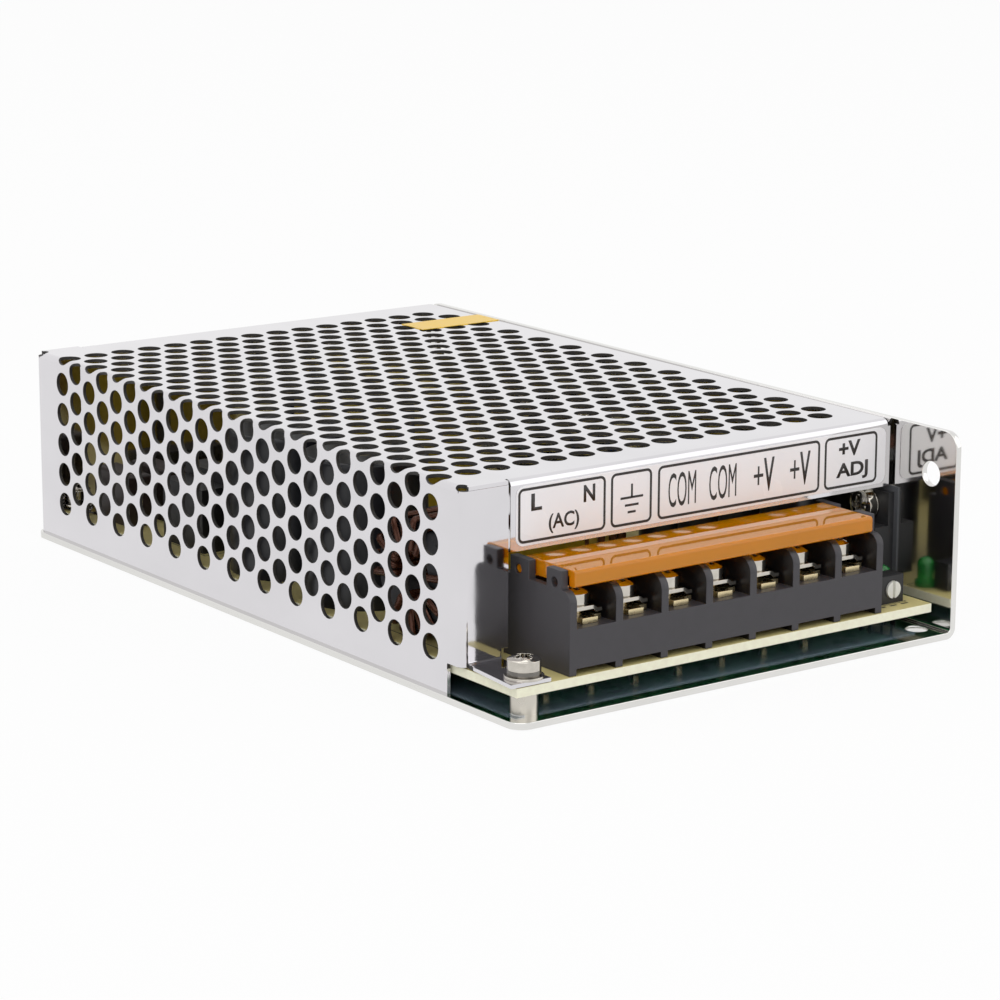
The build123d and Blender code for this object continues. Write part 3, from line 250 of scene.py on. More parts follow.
outline = [
    (flange_left, bend_front), (flange_left, bend_front - label_drop),
    (flange_right, bend_front - label_drop), (flange_right, bend_front - arc),
    (bend_right, bend_front - arc), (bend_right, bend_front), (flange_edge, bend_front),
    (flange_edge, side_flange_front), (flange_bottom, side_flange_front),
    (flange_bottom, side_flange_rear), (flange_edge, side_flange_rear),
    (flange_edge, bend_rear), (bend_right, bend_rear), (bend_right, bend_rear + arc),
    (flange_right, bend_rear + arc), (flange_right, bend_rear + rear_drop),
    (flange_left, bend_rear + rear_drop), (flange_left, bend_rear),
    (seam, bend_rear), (seam, rear), (bend_left, rear),
    *rear_relief,
    (side_edge, bend_rear), (side_edge, bend_rear + tab_reach),
    (tab_bottom, bend_rear + tab_reach), (tab_bottom, bend_rear + foot_outer),
    (rear_foot_end, bend_rear + foot_outer), (rear_foot_end, bend_rear + foot_inner),
    (tab_bottom, bend_rear + foot_inner), (tab_bottom, bend_rear + foot_inner - slit),
    (side_bottom, bend_rear + foot_inner - slit), (side_bottom, notch_rear), notch,
    (notch[0], bend_front - foot_inner + slit), (tab_bottom, bend_front - foot_inner + slit),
    (tab_bottom, bend_front - foot_inner),
    (front_foot_end, bend_front - foot_inner), (front_foot_end, bend_front - foot_outer),
    (tab_bottom, bend_front - foot_outer), (tab_bottom, bend_front - tab_reach),
    (side_edge, bend_front - tab_reach), (side_edge, bend_front),
    *reversed(front_relief),
    (bend_left, front), (seam, front), (seam, bend_front),
]

hole_radius = 2.2 * mm
hole_pitch = 5.9 * mm
hole_column = hole_pitch * math.sqrt(3) / 2
edge_steps = 6
hole_steps = 4 * edge_steps
hole_rows, hole_columns = 20, 25
rows_on_side = 5
field_inset, field_start = 1.6 * mm, 8.95 * mm
first_hole = Vector((left + field_inset - rows_on_side * hole_pitch, front + field_start, top))
half_pitch, half_column = hole_pitch / 2, hole_column / 2


def between(start, end, steps):
    """Evenly spaced points from one corner up to the next, which is left out."""
    (x, y), (far_x, far_y) = start, end
    return [(x + (far_x - x) * step / steps, y + (far_y - y) * step / steps) for step in range(steps)]


def box_edge(x, y):
    """Points round the box that one punched hole takes up, from its lower right corner."""
    corners = [(x + half_pitch, y - half_column), (x + half_pitch, y + half_column),
               (x - half_pitch, y + half_column), (x - half_pitch, y - half_column)]
    return [point for index in range(4)
            for point in between(corners[index], corners[(index + 1) % 4], edge_steps)]


def punched_field(name, first, columns):
    """One hole in its box of sheet, repeated along the rows and the columns."""
    bpy.ops.object.select_all(action="DESELECT")
    bpy.ops.mesh.primitive_circle_add(vertices=hole_steps, radius=hole_radius, location=first)
    piece = bpy.context.object
    piece.name = name
    bpy.ops.object.transform_apply(location=True, rotation=True, scale=True)
    corner = -math.pi / 4
    edge = ring(first.x, first.y, hole_radius, hole_steps, corner, corner + 2 * math.pi)
    for vertex, (x, y) in zip(piece.data.vertices, edge):
        vertex.co = (x, y, first.z)
    bpy.ops.object.mode_set(mode="EDIT")
    bpy.ops.mesh.select_all(action="SELECT")
    bpy.ops.mesh.extrude_region_move()
    sheet = bmesh.from_edit_mesh(piece.data)
    pulled = [vertex for vertex in sheet.verts if vertex.select]
    for vertex in pulled:
        angle = math.atan2(vertex.co.y - first.y, vertex.co.x - first.x) - corner
        step = round(angle / (2 * math.pi) * hole_steps) % hole_steps
        vertex.co.x, vertex.co.y = box_edge(first.x, first.y)[step]
    bmesh.update_edit_mesh(piece.data)
    bpy.ops.object.mode_set(mode="OBJECT")
    for direction, count, step in (("rows", hole_rows, (hole_pitch, 0, 0)),
                                   ("columns", columns, (0, 2 * hole_column, 0))):
        repeat = piece.modifiers.new(direction, "ARRAY")
        repeat.count = count
        repeat.use_relative_offset = False
        repeat.use_constant_offset = True
        repeat.constant_offset_displace = step
    apply_modifiers(piece)
    return piece


shifted = first_hole + Vector((half_pitch, hole_column, 0))
even_field = punched_field("even_columns", first_hole, (hole_columns + 1) // 2)
odd_field = punched_field("odd_columns", shifted, hole_columns // 2)

# the stepped edge of the punched field, up to which the plain margins are filled
field_edge = []
field_front = first_hole.y - half_column
field_left = first_hole.x - half_pitch
field_right = field_left + hole_rows * hole_pitch
for column in range(hole_columns):
    y = field_front + column * hole_column
    x = field_right + half_pitch * (column % 2)
    field_edge += between((x, y), (x, y + hole_column), edge_steps)
    if column < hole_columns - 1:
        next_x = field_right + half_pitch * ((column + 1) % 2)
        field_edge += between((x, y + hole_column), (next_x, y + hole_column), edge_steps // 2)
field_rear = field_front + hole_columns * hole_column
field_edge += between((field_right, field_rear), (field_left, field_rear), hole_rows * edge_steps)
for column in reversed(range(hole_columns)):
    y = field_front + column * hole_column
    x = field_left + half_pitch * (column % 2)
    field_edge += between((x, y + hole_column), (x, y), edge_steps)
    if column > 0:
        next_x = field_left + half_pitch * ((column - 1) % 2)
        field_edge += between((x, y), (next_x, y), edge_steps // 2)
field_edge += between((field_left, field_front), (field_right, field_front), hole_rows * edge_steps)

holes = []
washer_low, washer_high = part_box("foot_flat_washers")
foot_screw_x = (washer_low.x + washer_high.x) / 2
foot_hole_y = arc + foot_screw_x - bend_left
foot_hole_radius, side_hole_radius = 1.7 * mm, 1.55 * mm
washer_radius = 3.3 * mm
side_screw_low, side_screw_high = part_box("cover_side_screws")
side_screw_height = (side_screw_low.z + side_screw_high.z) / 2
side_screw_inset = (side_screw_high.z - side_screw_low.z) / 2
for y in (side_screw_low.y + side_screw_inset, side_screw_high.y - side_screw_inset):
    holes.append(ring(bend_right + down(side_screw_height), y, side_hole_radius, hole_steps))
front_hole_x = foot_line - foot_arc - (front - foot_bend_radius - washer_low.y - washer_radius)
rear_hole_x = foot_line - arc - (bend_rear - washer_high.y + washer_radius)
holes.append(ring(front_hole_x, bend_front - foot_hole_y, foot_hole_radius, hole_steps))
holes.append(ring(rear_hole_x, bend_rear + foot_hole_y, foot_hole_radius, hole_steps))

sheet_weld = 0.002 * mm
cover = drawn("folded_cover", [outline, field_edge, *holes], top)
bpy.ops.object.mode_set(mode="EDIT")
bpy.ops.mesh.select_all(action="SELECT")
bpy.ops.mesh.quads_convert_to_tris()
bpy.ops.mesh.beautify_fill(angle_limit=math.pi)
bpy.ops.object.mode_set(mode="OBJECT")
bpy.ops.object.select_all(action="DESELECT")
for part in (even_field, odd_field, cover):
    part.select_set(True)
bpy.context.view_layer.objects.active = cover
bpy.ops.object.join()
bpy.ops.object.mode_set(mode="EDIT")
bpy.ops.mesh.select_all(action="SELECT")
bpy.ops.mesh.remove_doubles(threshold=sheet_weld)
bpy.ops.mesh.normals_make_consistent(inside=False)
sheet = bmesh.from_edit_mesh(cover.data)
if sum(face.normal.z for face in sheet.faces) < 0:
    bpy.ops.mesh.flip_normals()
bpy.ops.object.mode_set(mode="OBJECT")


def score(line, direction, radius):
    """Cuts the flat sheet across at each small turn that a fold will make."""
    for step in range(bend_steps + 1):
        reach = radius * math.pi / 2 * step / bend_steps
        bpy.ops.mesh.select_all(action="SELECT")
        bpy.ops.mesh.bisect(plane_co=line + direction * reach, plane_no=direction)


toward = {"left": Vector((-1, 0, 0)), "right": Vector((1, 0, 0)),
          "front": Vector((0, -1, 0)), "rear": Vector((0, 1, 0))}
left_line, right_line = Vector((bend_left, 0, top)), Vector((bend_right, 0, top))
front_line, rear_line = Vector((0, bend_front, top)), Vector((0, bend_rear, top))
foot_fold = Vector((foot_line, 0, top))
only(cover)
bpy.ops.object.mode_set(mode="EDIT")
score(left_line, toward["left"], bend_radius)
score(right_line, toward["right"], bend_radius)
score(front_line, toward["front"], bend_radius)
score(rear_line, toward["rear"], bend_radius)
score(foot_fold, toward["left"], foot_bend_radius)
score(foot_fold, toward["left"], bend_radius)
bpy.ops.object.mode_set(mode="OBJECT")

flat = np.empty(len(cover.data.vertices) * 3)
cover.data.vertices.foreach_get("co", flat)
flat = flat.reshape(-1, 3)
near = 0.01 * mm
on_side = flat[:, 0] < side_edge + near
on_rear = flat[:, 1] > bend_rear + near
on_front = flat[:, 1] < bend_front - near
on_front_foot = flat[:, 1] < bend_front - foot_inner + slit / 2
on_rear_foot = flat[:, 1] > bend_rear + foot_inner - slit / 2
beside_seam = flat[:, 0] > seam + seam_gap / 2
# the tabs hang from their own fold, so their top edges take every turn of the side's fold
tab_tops = (on_front | on_rear) & (abs(flat[:, 0] - side_edge) < near)
flat[tab_tops, 0] -= near
past_cut = 0.001 * mm


def fold(part, line, direction, radius, upward=False):
    """Turns part of the sheet down or up through a right angle, one small turn at each cut."""
    only(cover)
    bpy.ops.object.mode_set(mode="EDIT")
    sheet = bmesh.from_edit_mesh(cover.data)
    reach = (flat - np.array(line)) @ np.array(direction)
    axis = Vector((0, 0, 1)).cross(direction)
    around = "X" if abs(axis.x) > 0.5 else "Y"
    sign = (axis.x + axis.y) * (-1 if upward else 1)
    for step in range(bend_steps, -1, -1):
        at = radius * math.pi / 2 * step / bend_steps
        turn = math.pi / 2 / bend_steps * (0.5 if step in (0, bend_steps) else 1.0)
        beyond = part & (reach > at + past_cut)
        for vertex, chosen in zip(sheet.verts, beyond):
            vertex.select = bool(chosen)
        sheet.select_flush_mode()
        bpy.ops.transform.rotate(value=-sign * turn, orient_axis=around,
                                 center_override=line + direction * at)
        sheet = bmesh.from_edit_mesh(cover.data)
    bpy.ops.object.mode_set(mode="OBJECT")


fold(on_side & on_front_foot, foot_fold, toward["left"], foot_bend_radius, upward=True)
fold(on_side & on_rear_foot, foot_fold, toward["left"], bend_radius)
fold(on_side & on_front, front_line, toward["front"], bend_radius)
fold(on_side & on_rear, rear_line, toward["rear"], bend_radius)
fold(beside_seam & on_front, front_line, toward["front"], bend_radius)
fold(beside_seam & on_rear, rear_line, toward["rear"], bend_radius)
fold(np.ones(len(flat), bool), left_line, toward["left"], bend_radius)
fold(~on_front & ~on_rear, right_line, toward["right"], bend_radius)

# the tabs' top edges are lifted to stand close under the top
tab_gap = 0.02 * mm
only(cover)
bpy.ops.object.mode_set(mode="EDIT")
sheet = bmesh.from_edit_mesh(cover.data)
for vertex, chosen in zip(sheet.verts, tab_tops):
    vertex.select = bool(chosen)
sheet.select_flush_mode()
bpy.ops.transform.translate(value=(0, 0, bend_radius - sheet_thickness - tab_gap))
bpy.ops.mesh.select_all(action="SELECT")
bpy.ops.mesh.dissolve_degenerate(threshold=sheet_weld)
bpy.ops.object.mode_set(mode="OBJECT")

zinc = finish("bright_zinc_plate", tint(217, 215, 218), metallic=1.0, roughness=0.05, shade=0.03,
              patch=90.0, stretch=(1, 0.5, 1), grain=1500.0, relief=0.06, scuff=0.07)
# the hole walls' finish: its roughness is that of sheared steel, and its dark tone is painted shade
# inside the punched holes
shaded_sheared_wall = finish("sheared_hole_wall_painted_shade", tint(62, 60, 58), metallic=0.4, roughness=0.5, shade=0.15,
                 patch=900.0)
coat(cover, zinc)
cover.data.materials.append(shaded_sheared_wall)
wall = cover.modifiers.new("wall", "SOLIDIFY")
wall.thickness = sheet_thickness
wall.offset = -1.0
wall.material_offset_rim = 1
apply_modifiers(cover)

# only the walls of the small holes take the dark finish, rough like a sheared wall and darkened with
# painted shade: the long outer edges stay bright
largest_facet = 1.2 * 2 * math.pi * hole_radius / hole_steps * sheet_thickness
for face in cover.data.polygons:
    if face.material_index == 1 and face.area > largest_facet:
        face.material_index = 0

# the sheared rims are eased, but not where thin triangles leave no room for it
sharp_turn, least_corner = math.radians(60), math.radians(30)
rim_ease = 0.06 * mm
shell = bmesh.new()
shell.from_mesh(cover.data)
rim_weight = shell.edges.layers.float.new("bevel_weight_edge")
for edge in shell.edges:
    corners = [corner.calc_angle() for face in edge.link_faces for corner in face.loops
               if corner.vert in edge.verts]
    sharp = edge.calc_face_angle(0.0) > sharp_turn
    edge[rim_weight] = float(sharp and min(corners) > least_corner)
shell.to_mesh(cover.data)
shell.free()
rims = cover.modifiers.new("punched_rims", "BEVEL")
rims.width = rim_ease
rims.segments = 1
rims.limit_method = "WEIGHT"
rims.use_clamp_overlap = False
apply_modifiers(cover)
smooth(cover, 30)
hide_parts("cover")
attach(cover, "case")

# Terminal label: a glossy white plastic sticker on the label flange. Its rounded frames and
# the generic terminal names in them are printed in black, here as a thin raised film.
white_vinyl = finish("white_label_vinyl", tint(250, 248, 251), roughness=0.22, shade=0.02, patch=80.0,
                     grain=1200.0, relief=0.05, Coat_Weight=0.4, Coat_Roughness=0.08)
sticker_edge = 0.03 * mm
ease("terminal_label", "label_sticker", white_vinyl, sticker_edge)
black_ink = finish("black_label_ink", tint(38, 32, 30), roughness=0.35, shade=0.15, patch=300.0)
label_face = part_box("terminal_label")[0].y
ink_film = 0.02 * mm


def stand_up(piece):
    """Gives a flat drawing the thickness of a print and turns it up onto the label."""
    only(piece)
    bpy.ops.object.mode_set(mode="EDIT")
    bpy.ops.mesh.select_all(action="SELECT")
    bpy.ops.mesh.extrude_region_move(TRANSFORM_OT_translate={"value": (0, 0, ink_film)})
    bpy.ops.mesh.select_all(action="SELECT")
    bpy.ops.mesh.normals_make_consistent(inside=False)
    bpy.ops.object.mode_set(mode="OBJECT")
    piece.rotation_euler = (math.pi / 2, 0, 0)
    piece.location.y = label_face
    only(piece)
    bpy.ops.object.transform_apply(location=True, rotation=True, scale=True)


def printed(piece):
    """Inks a piece of print, which stays with the case."""
    coat(piece, black_ink)
    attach(piece, "case")


def rounded_box(low_x, low_z, high_x, high_z, radius, steps=6):
    """Corner points of a box with rounded corners."""
    quarter = math.pi / 2
    corners = [(high_x - radius, high_z - radius, 0), (low_x + radius, high_z - radius, 1),
               (low_x + radius, low_z + radius, 2), (high_x - radius, low_z + radius, 3)]
    return [point for x, z, turn in corners
            for point in ring(x, z, radius, steps, quarter * turn, quarter * (turn + 1), False)]


# the frames' own sizes, and where each starts and ends from the middle of the supply, in mm
frame_line = 0.45 * mm
frame_corner = 1.1 * mm
frame_bottom, frame_top = 25.85 * mm, 35.1 * mm
frame_spans = [(-35.95, -17.9), (-16.8, -8.08), (-6.8, 29.3), (30.4, 42.69)]
loops = []
for start, end in frame_spans:
    start, end = start * mm, end * mm
    loops.append(rounded_box(start, frame_bottom, end, frame_top, frame_corner))
    loops.append(rounded_box(start + frame_line, frame_bottom + frame_line, end - frame_line,
                             frame_top - frame_line, frame_corner - frame_line))
frames = drawn("label_frames", loops)
stand_up(frames)
printed(frames)


def lettering(name, words, low_x, low_z, high_x, high_z, weight=0.0):
    """Sets words in the plain built-in type and draws them out to fill a box given in mm."""
    type_line = bpy.data.curves.new(name, "FONT")
    type_line.body = words
    type_line.offset = weight
    type_line.resolution_u = 4
    piece = bpy.data.objects.new(name, type_line)
    bpy.context.scene.collection.objects.link(piece)
    only(piece)
    bpy.ops.object.convert(target="MESH")
    corners = np.array([vertex.co[:] for vertex in piece.data.vertices])
    small, large = corners.min(0), corners.max(0)
    width, height = (high_x - low_x) * mm, (high_z - low_z) * mm
    piece.scale = (width / (large[0] - small[0]), height / (large[1] - small[1]), 1)
    piece.location = (low_x * mm - small[0] * piece.scale[0], low_z * mm - small[1] * piece.scale[1], 0)
    bpy.ops.object.transform_apply(location=True, rotation=True, scale=True)
    stand_up(piece)
    printed(piece)


lettering("print_live", "L", -33.3, 31.1, -31.1, 34.0, 0.03)
lettering("print_neutral", "N", -22.5, 31.1, -20.1, 34.0, 0.03)
lettering("print_mains", "(AC)", -29.7, 26.8, -23.4, 30.1, 0.02)
lettering("print_common_1", "COM", -4.5, 27.6, 1.5, 33.5)
lettering("print_common_2", "COM", 4.4, 27.6, 10.4, 33.5)
lettering("print_plus_1", "+", 14.3, 28.9, 16.4, 32.2)
lettering("print_volt_1", "V", 16.5, 27.6, 18.9, 33.5, 0.02)
lettering("print_plus_2", "+", 22.5, 28.9, 24.6, 32.2)
lettering("print_volt_2", "V", 24.7, 27.6, 27.1, 33.5, 0.02)
lettering("print_adjust_plus", "+V", 33.7, 31.3, 38.7, 34.1, 0.03)
lettering("print_adjust", "ADJ", 33.2, 26.9, 40.6, 30.2, 0.03)


def plain_box(low_x, low_y, high_x, high_y):
    """Corner points of a box, anticlockwise from its low corner."""
    return [(low_x, low_y), (high_x, low_y), (high_x, high_y), (low_x, high_y)]


# the earth sign: an upright bar on three level bars, in mm from its own middle line
earth_x = -12.35
earth_bars = [(-0.2, 30.6, 0.2, 32.9), (-2.4, 30.4, 2.4, 30.8), (-1.45, 29.1, 1.45, 29.5),
              (-0.85, 27.9, 0.85, 28.3)]
for index, (low_x, low_z, high_x, high_z) in enumerate(earth_bars):
    corners = plain_box((earth_x + low_x) * mm, low_z * mm, (earth_x + high_x) * mm, high_z * mm)
    bar = drawn(f"print_earth_{index}", [corners])
    stand_up(bar)
    printed(bar)

# Terminal block: a charcoal moulding with seven open cells between upright dividers, and
# two higher end plates that are notched and bored for the lid.
charcoal = finish("charcoal_moulding", tint(58, 56, 60), roughness=0.42, shade=0.08, patch=500.0,
                  grain=3500.0, relief=0.2, scuff=0.1)
moulded_edge = 0.12 * mm
moulding = ease("terminal_block", "terminal_moulding", charcoal, moulded_edge)
# the upright walls inside the cells take a darker, glossier copy of the charcoal: the darkness is
# painted shade in the deep, narrow cells, the gloss is real
shaded_cell_wall = finish("glossier_cell_wall_painted_shade", tint(26, 23, 24), roughness=0.3, shade=0.1, patch=500.0)
moulding.data.materials.append(shaded_cell_wall)
block_low, block_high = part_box("terminal_block")
end_plate = 1.0 * mm
# picks the upright faces inside the cells, below the top of the block, for the painted shade
almost_level = 0.9
for face in moulding.data.polygons:
    x, y, z = face.center
    inside = block_low.x + end_plate < x < block_high.x - end_plate and y > block_low.y + end_plate
    upright = abs(face.normal.z) < almost_level
    face.material_index = int(inside and z < block_high.z - end_plate and upright)

# Terminal metal: a nickel-plated contact plate, a wavy square clamp washer and a captive
# pan head screw in each cell. The screw and its washer lift together.
nickel = finish("bright_nickel_plate", tint(198, 193, 184), metallic=1.0, roughness=0.07, shade=0.1,
                patch=700.0, grain=3000.0, relief=0.2, scuff=0.08)
warm_nickel = finish("warm_contact_plate", tint(216, 200, 160), metallic=1.0, roughness=0.2, shade=0.1,
                     patch=600.0, grain=3000.0, relief=0.2, scuff=0.14)
stamped_edge = 0.08 * mm
cells = 7
ease("contact_plates", "contact_tongues", warm_nickel, stamped_edge)
for cell in range(1, cells + 1):
    body = f"terminal_{cell}"
    ease(f"terminal_screw_{cell}", f"cell_screw_{cell}", nickel, stamped_edge, body=body)
    ease(f"clamp_washer_{cell}", f"cell_clamp_{cell}", nickel, stamped_edge, body=body)

# Terminal lid: one moulding of clear amber plastic that keeps fingers off the live screws.
# It swings on two pins that snap into the bored end plates of the block.
amber = finish("clear_amber_plastic", tint(255, 174, 4), roughness=0.02, shade=0.03, patch=60.0,
               grain=400.0, relief=0.03, scuff=0.02, Transmission_Weight=0.58, IOR=1.46)
lid_edge = 0.15 * mm
ease("terminal_lid", "swing_lid", amber, lid_edge, body="lid")

# Circuit board: olive paper laminate, sawn to pale edges, with green solder mask over the
# copper below. It stands on tinned posts that are pressed into the base.
laminate = finish("olive_board_laminate", tint(220, 206, 142), roughness=0.4, shade=0.06, patch=400.0,
                  stretch=(1, 0.3, 1), grain=3000.0, relief=0.15)
solder_mask = finish("green_solder_mask", tint(70, 150, 104), roughness=0.25, shade=0.2, patch=260.0)
sawn_edge = finish("sawn_board_edge", tint(253, 249, 224), roughness=0.7, shade=0.05, patch=900.0)
sawn_ease = 0.05 * mm
board = ease("circuit_board", "laminate_board", laminate, sawn_ease)
board.data.materials.append(solder_mask)
board.data.materials.append(sawn_edge)
facing = 0.5
for face in board.data.polygons:
    face.material_index = 1 if face.normal.z < -facing else 2 if face.normal.z < facing else 0

# the board's black print: an outline round each part and a few marks beside the block
board_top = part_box("circuit_board")[1].z
print_line, print_reach, print_lift = 0.22 * mm, 0.5 * mm, 0.01 * mm
outlines = []
for node in ("x_capacitor", "trimmer_body", "power_led", "transformer_core", "line_choke_core",
             "output_choke_core", "driver_transformer"):
    low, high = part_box(node)
    for inset in (0.0, print_line):
        outlines.append(plain_box(low.x - print_reach + inset, low.y - print_reach + inset,
                                  high.x + print_reach - inset, high.y + print_reach - inset))
marks = 3
mark_length, mark_width, mark_pitch = 1.6 * mm, 0.5 * mm, 2.6 * mm
mark_gap, mark_inset = 1.6 * mm, 2.2 * mm
mark_x, mark_y = block_high.x + mark_gap, block_low.y + mark_inset
for index in range(marks):
    x = mark_x + index * mark_pitch
    outlines.append(plain_box(x, mark_y, x + mark_length, mark_y + mark_width))
board_print = drawn("board_print", outlines, board_top + print_lift)
printed(board_print)
post_metal = finish("tinned_brass_post", tint(205, 200, 190), metallic=1.0, roughness=0.25)
coat("standoffs", post_metal)

# Insulating sheet: a thin clear plastic film that lies between the base and the board, cut
# out round the posts, so that no soldered leg can touch the metal.
film = finish("clear_insulating_film", tint(190, 214, 240), roughness=0.04, shade=0.01, relief=0.0,
              scuff=0.02, Alpha=0.12)
coat("insulating_sheet", film)

# Fasteners: plated pan head screws in the posts and the wall, countersunk ones at the side.
# The two feet of the cover also have a flat washer and a darker spring washer each.
spring_steel = finish("darker_spring_steel", tint(120, 117, 112), metallic=1.0, roughness=0.18,
                      shade=0.15, patch=700.0)
headed_edge = 0.07 * mm
for node, name, metal in (("foot_screws", "foot_pan_screws", nickel),
                          ("board_screws", "board_pan_screws", nickel),
                          ("device_screws", "device_pan_screws", nickel),
                          ("cover_side_screws", "side_sunk_screws", nickel),
                          ("foot_flat_washers", "foot_plain_washers", nickel),
                          ("foot_spring_washers", "foot_split_washers", spring_steel),
                          ("device_washers", "device_plain_washers", nickel)):
    ease(node, name, metal, headed_edge)

# Output adjuster and power lamp: a trimmer in a black case, whose slotted white rotor faces
# the terminal end, and a round lamp of clear green resin. Both are soldered to the board.
black_case = finish("black_component_case", tint(34, 34, 36), roughness=0.4, shade=0.1, patch=600.0)
coat("trimmer_body", black_case)
white_nylon = finish("white_nylon", tint(236, 236, 230), roughness=0.35, shade=0.03, patch=500.0)
coat("trimmer_rotor", white_nylon)
green_lens = finish("green_lamp_lens", tint(60, 190, 95), roughness=0.08, shade=0.05,
                    Transmission_Weight=0.7, IOR=1.5)
coat("power_led", green_lens)

# Power devices: black epoxy packages that shed their heat to the aluminium wall. Each is
# screwed to it with a soft grey insulating pad between. The control chip has the same epoxy.
epoxy = finish("black_epoxy", tint(40, 40, 42), roughness=0.45, shade=0.1, patch=700.0)
silicone = finish("grey_pad_silicone", tint(84, 86, 90), roughness=0.7, shade=0.05)
for node in ("output_diode", "switching_transistors", "control_chip"):
    coat(node, epoxy)
coat("insulating_pads", silicone)

# Parts on the board, seen through the holes of the cover: sleeved capacitors, ferrite cores
# with their taped windings, dipped and boxed parts. All are soldered to the board.
sleeve_black = finish("dark_capacitor_sleeve", tint(30, 31, 36), roughness=0.3, shade=0.08, patch=200.0)
ferrite = finish("grey_ferrite", tint(58, 58, 62), roughness=0.55, shade=0.12, patch=600.0)
yellow_box = finish("yellow_box_plastic", tint(206, 184, 50), roughness=0.35, shade=0.04)
blue_dip = finish("blue_dipped_ceramic", tint(46, 92, 168), roughness=0.25, shade=0.06)
green_dip = finish("dark_green_dip", tint(38, 70, 52), roughness=0.3, shade=0.08)
yellow_tape = finish("yellow_winding_tape", tint(168, 146, 46), roughness=0.3, shade=0.05, patch=150.0)
iron = finish("yellow_iron_powder", tint(214, 186, 90), roughness=0.5, shade=0.08)
beige = finish("beige_resistor_coat", tint(206, 186, 150), roughness=0.45, shade=0.06)
brown_box = finish("brown_film_capacitor", tint(52, 42, 40), roughness=0.3, shade=0.06)
glass = finish("clear_fuse_glass", tint(245, 248, 248), roughness=0.03, Transmission_Weight=0.95)
coatings = {
    "bulk_capacitors": sleeve_black, "output_capacitors": sleeve_black, "small_capacitors": sleeve_black,
    "fuse": glass, "line_choke_core": ferrite, "x_capacitor": yellow_box,
    "y_capacitors": blue_dip, "thermistor": green_dip, "bridge_rectifier": epoxy,
    "transformer_core": ferrite, "transformer_winding": yellow_tape, "transformer_tape": yellow_tape,
    "driver_transformer": black_case, "output_choke_core": iron,
    "resistors": beige, "film_capacitors": brown_box,
}
for node, material in coatings.items():
    coat(node, material)

# Choke windings: thick enamelled copper wire, wound tightly by hand round a ring core, with
# each turn beside the last. The line choke has two windings that face each other.
copper = finish("enamelled_copper", tint(92, 52, 34), metallic=0.4, roughness=0.22, shade=0.12,
                patch=500.0)
turn_corner_steps = 3
enamel_gap = 0.01 * mm


def wind(name, node, core, inner, wire, turns, sweep, starts):
    """Bends one turn of wire round a ring core's section and spins it round the core's axis."""
    low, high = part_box(core)
    size = high - low
    height = min(size)
    upright = size.x == height
    outer = size.y / 2
    middle, half = (outer + inner) / 2, (outer - inner + wire) / 2
    rise = (height + wire) / 2
    path = rounded_box(middle - half, -rise, middle + half, rise, wire / 2, turn_corner_steps)
    groups = []
    for start in starts:
        drawing = bpy.data.curves.new(name, "CURVE")
        drawing.dimensions = "3D"
        drawing.bevel_depth = wire / 2 - enamel_gap
        drawing.bevel_resolution = 1
        line = drawing.splines.new("POLY")
        line.points.add(len(path) - 1)
        for point, (x, z) in zip(line.points, path):
            point.co = (x, 0.0, z, 1.0)
        line.use_cyclic_u = True
        piece = bpy.data.objects.new(name, drawing)
        bpy.context.scene.collection.objects.link(piece)
        only(piece)
        bpy.ops.object.convert(target="MESH")
        piece.rotation_euler.z = math.radians(start)
        bpy.ops.object.transform_apply(location=True, rotation=True, scale=True)
        bpy.ops.object.mode_set(mode="EDIT")
        bpy.ops.mesh.select_all(action="SELECT")
        bpy.ops.mesh.spin(steps=turns - 1, dupli=True, angle=math.radians(sweep),
                          center=(0, 0, 0), axis=(0, 0, 1))
        bpy.ops.object.mode_set(mode="OBJECT")
        groups.append(piece)
    bpy.ops.object.select_all(action="DESELECT")
    for piece in groups:
        piece.select_set(True)
    bpy.context.view_layer.objects.active = groups[0]
    if len(groups) > 1:
        bpy.ops.object.join()
    piece = groups[0]
    piece.rotation_euler.y = math.pi / 2 if upright else 0.0
    piece.location = (low + high) / 2
    bpy.ops.object.transform_apply(location=True, rotation=True, scale=True)
    smooth(piece, 60)
    coat(piece, copper)
    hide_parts(node)
    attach(piece, "case")


wind("line_choke_turns", "line_choke_windings", "line_choke_core", inner=5.0 * mm, wire=1.3 * mm,
     turns=8, sweep=125, starts=(27.5, 207.5))
wind("output_choke_turns", "output_choke_winding", "output_choke_core", inner=7.0 * mm, wire=1.5 * mm,
     turns=21, sweep=310, starts=(25,))

# Yellow sticker: a plain strip of plastic film with its own glue, pressed on the top of the
# cover near its rear end, across some of the holes.
yellow_film = finish("yellow_sticker_film", tint(244, 200, 56), roughness=0.3, shade=0.03, patch=200.0)
coat("yellow_sticker", yellow_film)

# Studio: a pale floor of paper that keeps the shadow, a white surround, three soft boxes, and
# the camera set where the photograph was taken from.


def background_rays(nodes, links):
    """One for rays that see the background straight, in a mirror or through clear plastic."""
    ray = nodes.new("ShaderNodeLightPath")
    total = ray.outputs["Is Camera Ray"]
    for kind in ("Is Glossy Ray", "Is Transmission Ray"):
        either = nodes.new("ShaderNodeMath")
        either.operation = "MAXIMUM"
        links.new(total, either.inputs[0])
        links.new(ray.outputs[kind], either.inputs[1])
        total = either.outputs["Value"]
    return total


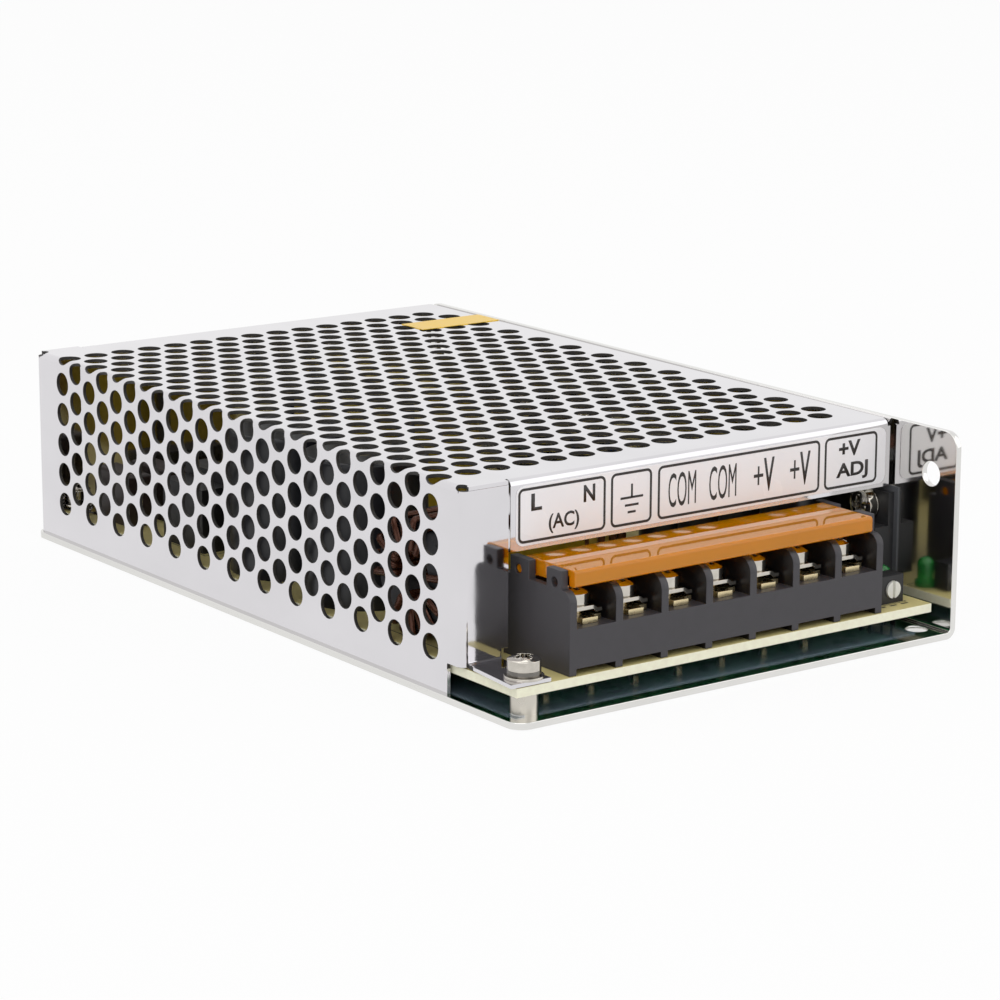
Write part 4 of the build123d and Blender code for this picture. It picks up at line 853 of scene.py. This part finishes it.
floor_size, floor_drop = 12.0, 0.2 * mm
bpy.ops.object.select_all(action="DESELECT")
bpy.ops.mesh.primitive_plane_add(size=floor_size, location=(0, 0, -floor_drop))
floor = bpy.context.object
floor.name = "pale_floor"
paper = bpy.data.materials.new("pale_floor_paper")
paper.use_nodes = True
nodes, links = paper.node_tree.nodes, paper.node_tree.links
surface = nodes["Principled BSDF"]
surface.inputs["Base Color"].default_value = (0.9, 0.9, 0.9, 1)
surface.inputs["Roughness"].default_value = 0.9
surface.inputs["Specular IOR Level"].default_value = 0.0
glow = nodes.new("ShaderNodeEmission")
share = nodes.new("ShaderNodeMath")
share.operation = "MULTIPLY"
share.inputs[1].default_value = 0.93
blend = nodes.new("ShaderNodeMixShader")
links.new(background_rays(nodes, links), share.inputs[0])
links.new(share.outputs["Value"], blend.inputs["Fac"])
links.new(surface.outputs["BSDF"], blend.inputs[1])
links.new(glow.outputs["Emission"], blend.inputs[2])
links.new(blend.outputs["Shader"], nodes["Material Output"].inputs["Surface"])
floor.data.materials.append(paper)

world = bpy.data.worlds.new("studio")
bpy.context.scene.world = world
world.use_nodes = True
nodes, links = world.node_tree.nodes, world.node_tree.links
sky = nodes["Background"]
sky.inputs["Color"].default_value = (1, 1, 1, 1)
level = nodes.new("ShaderNodeMapRange")
level.inputs["To Min"].default_value = 0.55
level.inputs["To Max"].default_value = 1.0
links.new(background_rays(nodes, links), level.inputs["Value"])
links.new(level.outputs["Result"], sky.inputs["Strength"])

aim = Vector((0, 0, 20 * mm))
for name, place, size, power in (("key_box", (-0.55, -0.55, 0.85), 1.2, 4.5),
                                 ("fill_box", (0.75, -0.6, 0.5), 1.0, 1.6),
                                 ("rim_box", (0.15, 0.75, 1.35), 1.0, 3.0)):
    lamp = bpy.data.lights.new(name, "AREA")
    lamp.size = size
    lamp.energy = power
    box = bpy.data.objects.new(name, lamp)
    box.location = place
    box.rotation_euler = (aim - box.location).to_track_quat("-Z", "Y").to_euler()
    bpy.context.scene.collection.objects.link(box)

# the camera's lens, place and turn fit the edges and corners of the case in the photograph
eye = bpy.data.cameras.new("photo_camera")
eye.lens = 121.695
eye.sensor_width = 36.0
eye.clip_start = 0.02
camera = bpy.data.objects.new("photo_camera", eye)
camera.location = (-354.484 * mm, -493.042 * mm, 161.099 * mm)
camera.rotation_euler = [math.radians(angle) for angle in (76.563, -0.203, -36.195)]
bpy.context.scene.collection.objects.link(camera)
bpy.context.scene.camera = camera
bpy.context.scene.view_settings.view_transform = "Standard"
